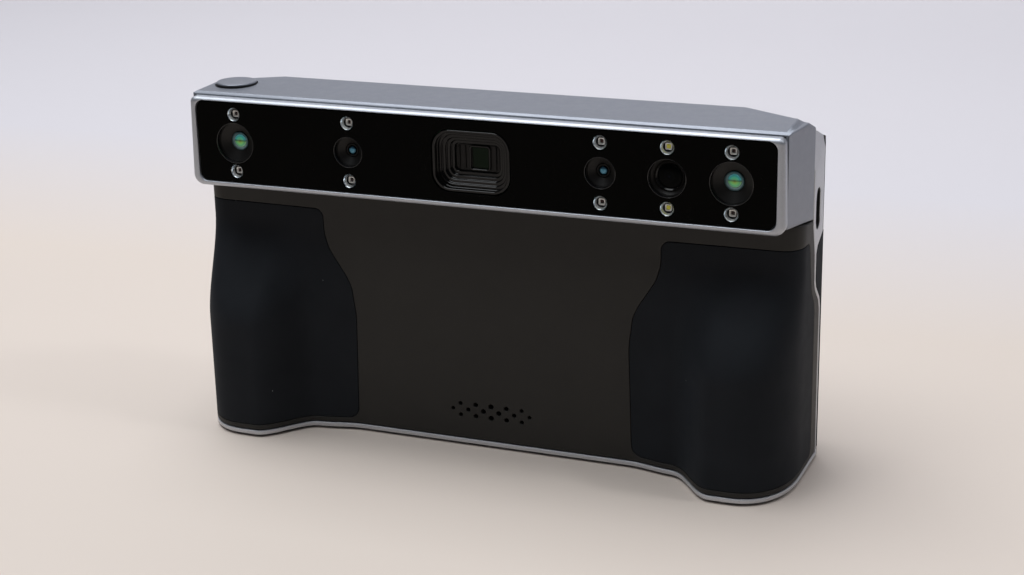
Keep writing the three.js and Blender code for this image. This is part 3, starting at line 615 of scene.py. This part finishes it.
def body_point(u, z):
    """A point of the body's outer surface; u runs round it from the middle of the panel."""
    grip, a, b, front = section(z)
    s = np.abs(u)
    x_front = s * (HALF - a) / FRONT_RUN
    flank = sum(share * smooth((x_front - start) / width) for start, width, share in FLANK_STEPS)
    turn = np.interp((s - FRONT_RUN) / CORNER_RUN, CORNER_SHARE, CORNER_TURN)
    along = np.clip((s - SIDE_START) / SIDE_RUN, 0, 1)
    rear_turn = np.clip((s - REAR_START) / REAR_RUN, 0, 1) * math.pi / 2
    side_y = front + b
    rear_y = REAR_Y - REAR_CORNER
    zones = [s < FRONT_RUN, s < SIDE_START, s < REAR_START, s < BACK_START, s >= BACK_START]
    x = np.select(zones, [
        x_front,
        HALF - a + a * np.sin(turn) ** CORNER_POWER,
        HALF + 0 * s,
        HALF - REAR_CORNER * (1 - np.cos(rear_turn)),
        HALF - REAR_CORNER - (s - BACK_START),
    ])
    y = np.select(zones, [
        PANEL_Y - GRIP_BULGE * grip * flank,
        front + b - b * np.maximum(np.cos(turn), 0) ** CORNER_POWER,
        side_y + along * (rear_y - side_y),
        rear_y + REAR_CORNER * np.sin(rear_turn),
        REAR_Y + 0 * s,
    ])
    return np.stack([np.where(u < 0, -x, x), y, z + 0 * s], 1)


def body_skin(points, depth):
    u, z = points[:, 0], points[:, 1]
    step = 0.2
    across = body_point(u + step, z) - body_point(u - step, z)
    upward = body_point(u, z + step) - body_point(u, z - step)
    normal = np.cross(across, upward)
    normal /= np.linalg.norm(normal, axis=1)[:, None]
    return body_point(u, z) - normal * np.asarray(depth)[:, None]


def on_panel(x, z):
    """Sheet place of a point of the front, from its x and height."""
    a = section(z)[1]
    return x * FRONT_RUN / (HALF - a), z


def on_side(y, z):
    """Sheet place of a point of the side wall, from its depth and height."""
    _, _, b, front = section(z)
    rear_y = REAR_Y - REAR_CORNER
    if y > rear_y:
        return REAR_START + (y - rear_y) / REAR_CORNER * REAR_RUN, z
    return SIDE_START + SIDE_RUN * (y - front - b) / (rear_y - front - b), z


def mirrored(loop):
    return loop[::-1] * np.array([-1, 1])


BASE_PLATE = 2.1
FOOT_HEIGHT = 0.6
FOOT_INSET = 1.3
TRIM_LINE = [(22.3, -12), (22.6, -16), (24.9, -24), (25.4, -32), (26.4, -34.4), (30.4, -38.2),
             (31.5, -41), (31.5, BASE_Z + BASE_PLATE)]
PAD_REAR_LINE = [(18.4, -19.2), (21.1, -31.5), (22, -34), (24.9, -37.6), (25.7, -40.5),
                 (25.7, -81)]
PAD_INNER_LINE = [(51, -19.6), (49.6, -21), (49.4, -26.5), (48.2, -30.5), (43.4, -38),
                  (41.7, -41.5), (41.3, -45), (41.3, -78.6), (41.9, -80), (43.5, -81)]
STRIP_LINE = [(28, -22.6), (26.7, -24.4), (26.7, -31.6), (27.6, -33.8), (31.6, -37.6),
              (32.8, -40.6), (32.8, -82)]
PAD_RADII = [1.6, 3, 6, 8, 8, 8, 8, 3, 3, 3, 2.5, 8, 4, 4, 8, 2.5]
STRIP_TOP_Z = -18.6
STRIP_INNER_X = 77.4
STRIP_RADII = [3, 2, 3, 3, 3, 3, 0.8, 0.8, 0.8, 3]


def pad_outline():
    inner = [on_panel(x, z) for x, z in PAD_INNER_LINE]
    rear = [on_side(y, z) for y, z in reversed(PAD_REAR_LINE)]
    return filleted(inner + rear, PAD_RADII)


def strip_outline():
    line = [on_side(y, z) for y, z in STRIP_LINE]
    back = BACK_START + HALF - REAR_CORNER - STRIP_INNER_X
    corners = [(back, STRIP_LINE[-1][1]), (back, STRIP_TOP_Z),
               on_side(REAR_Y - REAR_CORNER, STRIP_TOP_Z - 1.4)]
    return filleted(line + corners, STRIP_RADII)


# ---------------------------------------------------------------- casing
SHELL_WALL = 3.4
PAD_THICK = 1.3
SEAM_FILL = 0.1
SPEAKER_ROWS = [(-72.4, 5), (-74.1, 6), (-75.8, 5)]
SPEAKER_PITCH = 4.6
NECK_Z = -13.0
INSERT_HOLE = 5.3


def speaker_holes():
    for z, count in SPEAKER_ROWS:
        for i in range(count):
            x = (i - (count - 1) / 2) * SPEAKER_PITCH
            yield circle(x, z, 0.75 - 0.02 * abs(x), 20)


def front_shell():
    right = [on_side(y - GAP, z) for y, z in reversed(TRIM_LINE)]
    low = BASE_Z + BASE_PLATE + GAP
    right[0] = (right[0][0], low)
    right.pop()
    top = []
    for u in np.linspace(right[-1][0], 0, 40):
        y = body_point(np.array([u]), np.array([NECK_Z]))[0, 1]
        top.append((u, HEAD_FLOOR_Z - HEAD_FLOOR_SLOPE * y - GAP))
    half = filleted([(0, low)] + right, 1.5, closed=False).tolist() + top[:-1]
    outline = np.array(half + [(-u, z) for u, z in reversed(half[1:])])
    pad = grown(divided(pad_outline(), 0.8), GAP - SEAM_FILL)
    holes = [pad, mirrored(pad)] + list(speaker_holes())
    skin("front_shell", outline, holes, body_skin, SHELL_WALL, 0.35, 1.6, SHELL,
         ["front_shell"], hole_edge=0.22, wall_step=0.9)


def grips():
    for label, turn in (("left", mirrored), ("right", lambda loop: loop)):
        pad = grown(divided(pad_outline(), 0.9), SEAM_FILL)
        skin(f"{label}_grip_pad", turn(pad), [], body_skin, PAD_THICK, 0.25, 1.4,
             RUBBER, [f"{label}_grip_pad"], wall_step=0.9)
        skin(f"{label}_rear_grip_strip", turn(strip_outline()), [], body_skin, PAD_THICK, 0.3, 1.2,
             RUBBER, [f"{label}_rear_grip_strip"], wall_step=0.7)


def base_lip():
    """The metal plate round the underside, a thin light band over its narrower black foot."""
    back = edges_mm("mid_frame", 1)[1]
    s = np.concatenate([np.linspace(0, FRONT_RUN, 60), np.linspace(FRONT_RUN, SIDE_START, 40)[1:]])
    right = body_point(s, np.full(len(s), BASE_Z))[:, :2]
    right = np.concatenate([right, [(HALF, back)]])
    outline = np.concatenate([right, (right * [-1, 1])[:0:-1]])
    x, y, _ = centre_mm("tripod_insert")
    hole = circle(x, y, INSERT_HOLE, 40)
    skin("base_lip", outline, [hole], facing_down(BASE_Z + FOOT_HEIGHT), BASE_PLATE - FOOT_HEIGHT,
         0.75, 4, LIGHT_METAL, ["mid_frame"], hole_edge=0.2, back_edge=0.3,
         wall_step=1.2)
    inner = grown(divided(outline, 1.2), -FOOT_INSET)
    skin("base_foot", inner, [hole], facing_down(BASE_Z), FOOT_HEIGHT + 0.1, 0.2, 5, BLACK,
         hole_edge=0.1, wall_step=1.2)


def metal_frame():
    above = BASE_Z + BASE_PLATE + 0.05
    rounded_copy("mid_frame", "mid_frame", 0.3, LIGHT_METAL, cuts=[(2, -1, above)])
    base_lip()


def rear_cover():
    rounded_copy("rear_cover", "rear_cover", 0.35, SHELL)
    for i in (1, 2, 3, 4):
        node = f"rear_screw_{i}"
        rounded_copy(node, node, 0.1, STEEL, least=3)


def tripod_insert():
    x, y, _ = centre_mm("tripod_insert")
    low, high = edges_mm("tripod_insert", 2)
    bore, crest, outer, pitch = 2.9, 2.55, 5.0, 1.27
    profile = [(0, high), (outer, high), (outer, low + 0.25), (outer - 0.25, low),
               (bore + 0.5, low)]
    z = low + 0.5
    while z < high - 2.5:
        profile += [(bore, z), (crest, z + pitch * 0.35), (crest, z + pitch * 0.55)]
        z += pitch
    profile += [(bore, z), (0, z)]
    turned("tripod_insert", profile, (x, y, 0), "z", BRASS, ["tripod_insert"], sharp=30)


# ---------------------------------------------------------------- head
BEZEL_CORNERS = [(-84.6, -12.7), (84.6, -12.7), (84, 12.4), (-84, 12.4)]
BEZEL_RADII = [3, 3, 1.7, 1.7]
GLASS_HALF = 82


def head():
    rounded_copy("head_housing", "head_housing", 0.4, PAINT)
    outline = filleted(BEZEL_CORNERS, BEZEL_RADII, steps=10)
    low, high = edges_mm("window_glass", 2)
    seat = rounded_rect(-GLASS_HALF - GAP, GLASS_HALF + GAP, low - GAP, high + GAP, 2.5)
    front, back = edges_mm("front_bezel", 1)
    skin("front_bezel", outline, [seat], facing_front(front), back - front, 1.2, 3, BEZEL,
         ["front_bezel"], hole_edge=0.3, wall_step=0.8)


# Radii of the recess, the ring and the lens, and the depth of the lens.
CAMERAS = {
    "far_left": (5.75, 2.5, 1.85, 3.1),
    "near_left": (4.3, 1.75, 1.05, 2.9),
    "near_right": (4.3, 1.75, 1.05, 2.9),
    "colour": (5.15, 3.9, 3.3, 2.4),
    "far_right": (5.75, 2.5, 1.85, 3.1),
}
LED_Z = 8
GLASS_THICK = 1.1
HOOD_HALF = (11, 8.3)
HOOD_CORNER = 5
HOOD_DEPTH = 5.4
HOOD_STEPS = 5
HOOD_LIP = 0.7
HOOD_PITCH = 0.95


def hood_outline(inset):
    w, h = HOOD_HALF
    corner = max(0.9, HOOD_CORNER - 0.79 * inset)
    return rounded_rect(-w + inset, w - inset, -h + inset, h - inset, corner, 12)


def window_glass():
    low, high = edges_mm("window_glass", 2)
    outline = rounded_rect(-GLASS_HALF, GLASS_HALF, low, high, 2.2)
    holes = [hood_outline(-GAP)]
    for name, (recess, *_) in CAMERAS.items():
        x = centre_mm(f"{name}_lens")[0]
        holes.append(circle(x, 0, recess, 72))
        holes += [circle(x, z, 2.05, 36) for z in (-LED_Z, LED_Z)]
    skin("window_glass", outline, holes, facing_front(0), GLASS_THICK, 0.15, 5, GLASS,
         ["window_glass"], hole_edge=0.12, wall_step=1.2)


# Colours of each lens from its axis to its edge, partly the coating's own colour and partly painted
# light: the far lens's pale outer ring is a painted highlight, the bright centres of the near and
# colour lenses are painted glints, and the pale halo ring is painted light on the far lens's seat.
FAR_STOPS = [(0.0, (0.30, 0.46, 0.14)), (0.25, (0.42, 0.90, 0.42)), (0.55, (0.30, 0.97, 0.66)),
             (0.75, (0.20, 0.78, 0.76)), (0.92, (0.48, 0.92, 1.0)), (1.0, (0.20, 0.46, 0.54))]
NEAR_STOPS = [(0.0, (0.10, 0.42, 0.62)), (0.5, (0.22, 0.55, 0.72)), (0.8, (0.10, 0.30, 0.42)),
              (1.0, (0.01, 0.02, 0.03))]
DARK_STOPS = [(0.0, (0.010, 0.014, 0.020)), (0.12, (0.002, 0.002, 0.003)),
              (0.40, (0.005, 0.005, 0.005)), (0.5, (0.002, 0.002, 0.002)),
              (0.9, (0.004, 0.004, 0.004)), (1.0, (0.012, 0.012, 0.012))]
HALO_STOPS = [(0.6, (0.50, 0.66, 0.68)), (0.75, (0.34, 0.48, 0.50)), (0.88, (0.09, 0.14, 0.15)),
              (1.0, (0.012, 0.014, 0.014))]
LENSES = {"far": (FAR_STOPS, FLARE, 0.3), "near": (NEAR_STOPS, GLINT, 0.2),
          "colour": (DARK_STOPS, HALO, 0.03)}
SENSOR_HALF = 5.4


def dome(radius, front, edge, back):
    """Profile of a lens: a shallow dome in front of a flat-backed rim."""
    arc = [(radius * math.sin(t), edge - (edge - front) * math.cos(t))
           for t in np.linspace(0, math.pi / 2, 10)]
    return [(0, back), (0, front)] + arc[1:] + [(radius, back)]


def camera(name, recess, ring, lens, depth):
    """A camera in its round recess, with its lens and the two lights above and below it."""
    kind = name.split("_")[0]
    x = centre_mm(f"{name}_lens")[0]
    front = GLASS_THICK + GAP
    face = [(recess - 0.3, front), (recess - 0.38, front + 0.1), (recess - 0.42, front + 0.3),
            (recess - 0.6, front + 0.4), (ring + 0.35, depth - 0.15), (ring + 0.2, depth)]
    profile = [(0, 6.2), (0, depth + 1.3), (lens + GAP, depth + 1.3), (lens + GAP, depth + 0.12),
               (lens + GAP + 0.12, depth), (ring - 0.1, depth), (ring, depth + 0.1),
               (ring, depth + 0.5)] + face[::-1] + [(recess, front), (recess, 6.2)]
    turned(f"{name}_camera", profile, (x, 0, 0), "y", BARREL,
           [f"{name}_camera"], count=72)
    soft_box(f"{name}_sensor_block", (x - SENSOR_HALF, x + SENSOR_HALF), (6.25, 8.7),
             (-SENSOR_HALF, SENSOR_HALF), 0.3, BLACK)
    rim = [(recess - 0.02, 0.14), (recess - 0.05, 0.06), (recess - 0.11, 0.04),
           (recess - 0.17, 0.08), (recess - 0.20, 0.16), (recess - 0.20, 1.2),
           (recess - 0.02, 1.2)]
    turned(f"{name}_recess_rim", rim, (x, 0, 0), "y", RIM, count=96)
    stops, painted_light, gloss = LENSES[kind]
    coat = coated_glass(f"{name}_glass", (x, 0, 0), lens, stops, painted_light, gloss)
    turned(f"{name}_lens", dome(lens, depth - 0.25, depth + 0.2, depth + 1), (x, 0, 0), "y", coat,
           [f"{name}_lens"], count=56)
    if kind == "far":
        outer = lens + 0.85
        # The seat's pale halo colours are painted light, palest next to the lens and at its foot.
        halo = coated_glass(f"{name}_halo", (x, 0, 0), outer, HALO_STOPS, HALO, 0.1)
        lip = [(lens + 0.02, depth + 0.12), (lens + 0.3, depth - 0.02),
               (outer - 0.12, depth - 0.28), (outer, depth - 0.2), (outer, depth + 0.3),
               (lens + 0.02, depth + 0.3)]
        turned(f"{name}_lens_seat", lip, (x, 0, 0), "y", halo, count=56)
    if kind == "colour":
        outer = lens + 0.42
        lip = [(lens + 0.02, depth + 0.15), (outer - 0.1, depth - 0.1), (outer, depth),
               (outer, depth + 0.3), (lens + 0.02, depth + 0.3)]
        turned(f"{name}_lens_seat", lip, (x, 0, 0), "y", GLOSSY, count=56)
    light = "flash_led" if kind == "colour" else f"{name}_infrared_led"
    for label, z in (("upper", LED_Z), ("lower", -LED_Z)):
        led(f"{light}_{label}", x, z, kind == "colour")


def led(name, x, z, flash):
    """A light deep in its port: a bright chamfer, a black lining over the port's deep wall as
    painted shade, and an open ceramic package.
    """
    cup = [(0, 2.4), (0, 2.26), (1.38, 2.26), (1.38, 1.3), (1.4, 1.2), (1.56, 0.6), (1.75, 0.25),
           (1.82, 0.16), (1.86, 0.22), (1.86, 2.4)]
    turned(name, cup, (x, 0, z), "y", CHROME, [name], count=48)
    # The lining below is painted shade: black laid over the deep chrome wall of the port.
    shade_lining = [(0, 2.24), (0, 2.2), (1.26, 2.2), (1.3, 2.16), (1.3, 1.3), (1.36, 1.24), (1.36, 2.24)]
    turned(f"{name}_well", shade_lining, (x, 0, z), "y", BLACK, count=48)
    half = 0.98

    def square(inset):
        return rounded_rect(x - half + inset, x + half - inset, z - half + inset, z + half - inset,
                            0.42 - 0.4 * inset, 5)

    wall = [(0, 2.18), (0, 1.8), (0.05, 1.6), (0.15, 1.48), (0.26, 1.45), (0.36, 1.53),
            (0.42, 1.75), (0.46, 2.18)]
    swept(f"{name}_package", wall, square, facing_front(0), CERAMIC, sharp=60)
    if flash:
        soft_box(f"{name}_phosphor", (x - 0.5, x + 0.5), (1.55, 2.15), (z - 0.5, z + 0.5), 0.1,
                 PHOSPHOR)
    else:
        die = [(0, 2.16), (0, 1.85), (0.3, 1.88), (0.44, 1.98), (0.5, 2.16)]
        turned(f"{name}_die", die, (x, 0, z), "y", DIE, count=28)


def projector():
    """The stepped hood, its floor with a framed window, and three ribs on the floor."""
    front, back, round_off = 0.1, 7.2, 0.12
    profile = [(0, front + 0.1), (round_off, front), (HOOD_LIP - round_off, front),
               (HOOD_LIP, front + round_off)]
    for i in range(HOOD_STEPS):
        inset = HOOD_LIP + i * HOOD_PITCH
        floor = 1 + (i + 1) * (HOOD_DEPTH - 1) / HOOD_STEPS
        profile += [(inset, floor - round_off), (inset + round_off, floor)]
        if i + 1 < HOOD_STEPS:
            inset += HOOD_PITCH
            profile += [(inset - round_off, floor), (inset, floor + round_off)]
    inner = HOOD_LIP + HOOD_STEPS * HOOD_PITCH - 0.2
    profile += [(inner, HOOD_DEPTH), (inner, back), (0, back)]
    swept("projector_hood", profile, hood_outline, facing_front(0), GLOSSY,
          ["projector_hood"], sharp=25)
    low, high = edges_mm("projector_lens", 2)
    left, right = edges_mm("projector_lens", 0)
    w, h = (half - HOOD_LIP - (HOOD_STEPS - 1) * HOOD_PITCH for half in HOOD_HALF)
    floor = rounded_rect(-w + GAP, w - GAP, -h + GAP, h - GAP, 1.2)
    opening = rounded_rect(left, right, low, high, 0.35)
    mask_front = HOOD_DEPTH - 0.25
    skin("projector_mask", floor, [opening], facing_front(mask_front), 1.2, 0.1, 1.5, BARREL,
         hole_edge=0.12)
    rim = [(0, 0), (0, -0.45), (0.12, -0.55), (0.38, -0.55), (0.5, -0.45), (0.5, 0)]
    middle, half = (left + right) / 2, (right - left) / 2 + 0.75

    def rim_outline(inset):
        return rounded_rect(middle - half + inset, middle + half - inset, low - 0.45 + inset,
                            high + 0.45 - inset, 0.9 - inset * 0.6, 6)

    swept("projector_window_rim", rim, rim_outline, facing_front(mask_front), GLOSSY)
    for i, x in enumerate((-w + 1.2, -w + 2.9, w - 1.3)):
        soft_box(f"projector_rib_{i + 1}", (x - 0.22, x + 0.22), (HOOD_DEPTH - 0.65, HOOD_DEPTH),
                 (-h + 0.7, h - 0.7), 0.12, BARREL)
    pane = rounded_rect(left, right, low, high, 0.3)
    skin("projector_lens", pane, [], facing_front(HOOD_DEPTH - 0.05), 1.0, 0.1, 2, TINTED,
         ["projector_lens"])


def scan_button():
    """A dished cap with a flange under the roof, and painted shade: a black band over its side wall
    and a black ring lining the hole round it.
    """
    x, y, _ = centre_mm("scan_button")
    top = edges_mm("scan_button", 2)[1]
    radius, flange, low = 5.6, 6.7, 10.6
    dish = [(radius * 0.86 * t, top - 0.22 + 0.2 * t * t) for t in np.linspace(0, 1, 8)]
    edge = filleted([(radius * 0.86, top - 0.02), (radius, top - 0.02), (radius, 12)], 0.42, False)
    profile = dish + edge[1:].tolist() + [(radius, 11.5), (flange, 11.4), (flange, low),
                                          (1.8, low), (1.8, 9.9), (0, 9.9)]
    turned("scan_button", profile, (x, y, 0), "z", PAINT, ["scan_button"],
           body="scan_button", count=96, sharp=30)
    # Painted shade: the cap's side wall is covered in black below its rounded top edge.
    shade_skirt = [(radius - 0.2, 12), (radius + 0.03, 12), (radius + 0.03, top - 0.42),
             (radius - 0.2, top - 0.5)]
    turned("scan_button_skirt", shade_skirt, (x, y, 0), "z", BLACK, body="scan_button",
           count=96)
    # Painted shade: a black ring lines the hole round the cap, where the gap is in shade.
    shade_ring = [(radius + 0.12, 12.1), (radius + 0.44, 12.1), (radius + 0.44, 13.3),
            (radius + 0.12, 13.2)]
    turned("scan_button_seal", shade_ring, (x, y, 0), "z", BLACK, count=96)


# ---------------------------------------------------------------- screen and hinge
SCREEN_TOP_Z = -1.8
SCREEN_LEDGE_Y = (38.7, 42)
HINGE_Y = 41.4
HINGE_Z = 3.0
HINGE_RADIUS = 4.0
HINGE_WEB_Z = (-0.5, 4.8)
KNUCKLE_X = (56.1, 66)


def screen():
    """The screen: a frame with a ledge between its glass and its back cover."""
    low, high = edges_mm("screen_frame", 1)
    half = edges_mm("screen_frame", 0)[1]
    bottom = edges_mm("screen_frame", 2)[0]
    inner, outer = SCREEN_LEDGE_Y

    def outline(inset):
        corner = max(1.2, 4 - inset * 0.6)
        return rounded_rect(-half + inset, half - inset, bottom + inset, SCREEN_TOP_Z - inset,
                            corner, 10)

    profile = filleted([(0, low), (0, high), (1.5, high), (1.5, outer), (6, outer), (6, inner),
                        (4, inner), (4, low)], [0.8, 1.0, 0.3, 0.2, 0.3, 0.3, 0.2, 0.3], steps=3)
    swept("screen_frame", profile, outline, facing_front(0), SHELL,
          ["screen_frame"], body="screen")
    glass_back = edges_mm("screen_glass", 1)[1]
    skin("screen_glass", outline(1.8), [], facing_back(glass_back), 1.2, 0.3, 6, DISPLAY,
         ["screen_glass"], body="screen", wall_step=1.5)
    cover_front = edges_mm("screen_back_cover", 1)[0]
    skin("screen_back_cover", outline(4.3), [], facing_front(cover_front), 1.3, 0.35, 6, PAINT,
         ["screen_back_cover"], body="screen", wall_step=1.5)


def barrel(name, x, material, nodes, body="root"):
    """A rounded drum on the hinge's axis, between two places along it."""
    ends = filleted([(0, x[0]), (HINGE_RADIUS, x[0]), (HINGE_RADIUS, x[1]), (0, x[1])], 0.4, False)
    turned(name, ends.tolist(), (0, HINGE_Y, HINGE_Z), "x", material, nodes, body, count=56)


def hinge():
    web_y = (REAR_Y + GAP, HINGE_Y)
    cover = edges_mm("hinge_cover", 0)
    barrel("hinge_cover", cover, SHELL, ["hinge_cover"])
    soft_box("hinge_cover_web", cover, web_y, HINGE_WEB_Z, 0.4, SHELL)
    for label, side in (("left", -1), ("right", 1)):
        bracket = f"{label}_hinge_bracket"
        fixed = edges_mm(bracket, 0)
        barrel(bracket, fixed, PAINT, [bracket])
        soft_box(f"{bracket}_web", fixed, web_y, HINGE_WEB_Z, 0.4, PAINT)
        moving = sorted(side * x for x in KNUCKLE_X)
        barrel(f"{label}_screen_knuckle", moving, SHELL, [], "screen")
        soft_box(f"{label}_screen_web", moving, (HINGE_Y - 3.6, HINGE_Y + 3.6),
                 (SCREEN_TOP_Z - 1, HINGE_Z), 0.4, SHELL, body="screen")
        rounded_copy(f"{label}_hinge_pin", f"{label}_hinge_pin", 0.2, STEEL)


# ---------------------------------------------------------------- small and inner parts
SLOT_HALF = (2.18, 5.68)
SLOT_FLOOR_X = 81


def facing_side(points, x):
    return np.stack([x, points[:, 0], points[:, 1]], 1)


def small_parts():
    rounded_copy("power_button", "power_button", 0.35, PAINT, body="power_button")
    rounded_copy("usb_port", "usb_port", 0.12, STEEL, cuts=[(0, 1, 84.2)])
    _, y, z = centre_mm("usb_port")

    def slot_outline(inset):
        w, h = (half - inset for half in SLOT_HALF)
        return rounded_rect(y - w, y + w, z - h, z + h, 2.16 - inset, 12)

    # Painted shade: a black lining over the walls of the slot in the light metal frame.
    tube = [(0, HALF - 0.12), (0, SLOT_FLOOR_X), (0.28, SLOT_FLOOR_X), (0.28, HALF - 0.2),
            (0.2, HALF - 0.12)]
    swept("usb_slot_shade_lining", tube, slot_outline, facing_side, BLACK)


# Inner parts that keep their CAD mesh.
CARRIED = {
    "led_board": BOARD, "main_board": BOARD, "optics_bracket": ALUMINIUM,
    "heat_spreader": ALUMINIUM, "projector_module": BLACK, "scan_switch": BLACK,
    "power_switch": BLACK, "speaker": BLACK, "left_battery": WRAP, "right_battery": WRAP,
    "display_panel": DISPLAY,
}


def carried_over():
    for node, material in CARRIED.items():
        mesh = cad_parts[node].data
        mesh.materials.clear()
        mesh.materials.append(material)


# ---------------------------------------------------------------- stage, light and camera
def stage():
    """A pale warm floor that turns cooler behind the object and curves up into a wall."""
    width, near, far, height, bend = 3.0, -1.6, 1.1, 1.8, 0.5
    profile = [(near, 0.0), (far - bend, 0.0)]
    for t in np.linspace(0, math.pi / 2, 14)[1:]:
        profile.append((far - bend + bend * math.sin(t), bend - bend * math.cos(t)))
    profile.append((far, height))
    points = [(x, y, z) for y, z in profile for x in (-width, width)]
    faces = [[2 * i, 2 * i + 1, 2 * i + 3, 2 * i + 2] for i in range(len(profile) - 1)]
    mesh = bpy.data.meshes.new("sweep")
    mesh.from_pydata(points, [], faces)
    mesh.shade_smooth()
    sweep = bpy.data.objects.new("sweep", mesh)
    bpy.context.scene.collection.objects.link(sweep)
    f = Finish("pale_floor", 0.6)
    split = f.nodes.new("ShaderNodeSeparateXYZ")
    f.links.new(f.place, split.inputs["Vector"])
    floor = f.ramp(f.noise(3, 2), shades((0.705, 0.617, 0.547), 0.02))
    behind = f.math("SUBTRACT", f.math("MULTIPLY", split.outputs["Y"], 6.0), 0.7)
    f.colour(f.mix(behind, floor, (0.678, 0.652, 0.680)))
    mesh.materials.append(f.material)


def lamp(name, place, target, size, power, colour):
    data = bpy.data.lights.new(name, "AREA")
    data.shape = "RECTANGLE"
    data.size, data.size_y = size
    data.energy = power
    data.color = colour
    light = bpy.data.objects.new(name, data)
    turn = (Vector(target) - Vector(place)).to_track_quat("-Z", "Y").to_matrix().to_4x4()
    light.matrix_world = Matrix.Translation(place) @ turn
    bpy.context.scene.collection.objects.link(light)


def lights():
    middle = (0, 0, 0.05)
    lamp("overhead", (-0.3, -0.05, 1.25), middle, (1.5, 0.95), 17.5, (0.94, 0.97, 1.0))
    lamp("spark", (0.85, 0.0, 1.0), middle, (0.15, 0.15), 1.5, (0.94, 0.97, 1.0))
    lamp("wall_wash", (0.0, 0.2, 1.4), (0, 1.1, 0.5), (2.4, 0.6), 6.5, (0.96, 0.97, 1.0))
    world = bpy.data.worlds.new("room")
    world.use_nodes = True
    background = world.node_tree.nodes["Background"]
    background.inputs["Color"].default_value = (0.80, 0.86, 1.0, 1)
    background.inputs["Strength"].default_value = 0.09
    bpy.context.scene.world = world
    bpy.context.scene.view_settings.view_transform = "Standard"


CAMERA_AZIMUTH = 22.502
CAMERA_ELEVATION = 18.288
CAMERA_ROLL = -1.3
CAMERA_PLACE = (195.20, -464.85, 210.75)
CAMERA_LENS = 67.18


def camera_view():
    data = bpy.data.cameras.new("camera")
    data.sensor_width = 36
    data.lens = CAMERA_LENS
    data.clip_start = 0.01
    turn = Matrix.Rotation(math.radians(CAMERA_AZIMUTH), 4, "Z")
    turn = turn @ Matrix.Rotation(math.radians(90 - CAMERA_ELEVATION), 4, "X")
    turn = turn @ Matrix.Rotation(math.radians(CAMERA_ROLL), 4, "Z")
    view = bpy.data.objects.new("camera", data)
    view.matrix_world = Matrix.Translation(Vector(CAMERA_PLACE) * MM) @ turn
    bpy.context.scene.collection.objects.link(view)
    bpy.context.scene.camera = view


camera_view()
lights()
stage()
front_shell()
grips()
metal_frame()
rear_cover()
tripod_insert()
head()
window_glass()
for camera_name, camera_sizes in CAMERAS.items():
    camera(camera_name, *camera_sizes)
projector()
scan_button()
screen()
hinge()
small_parts()
carried_over()
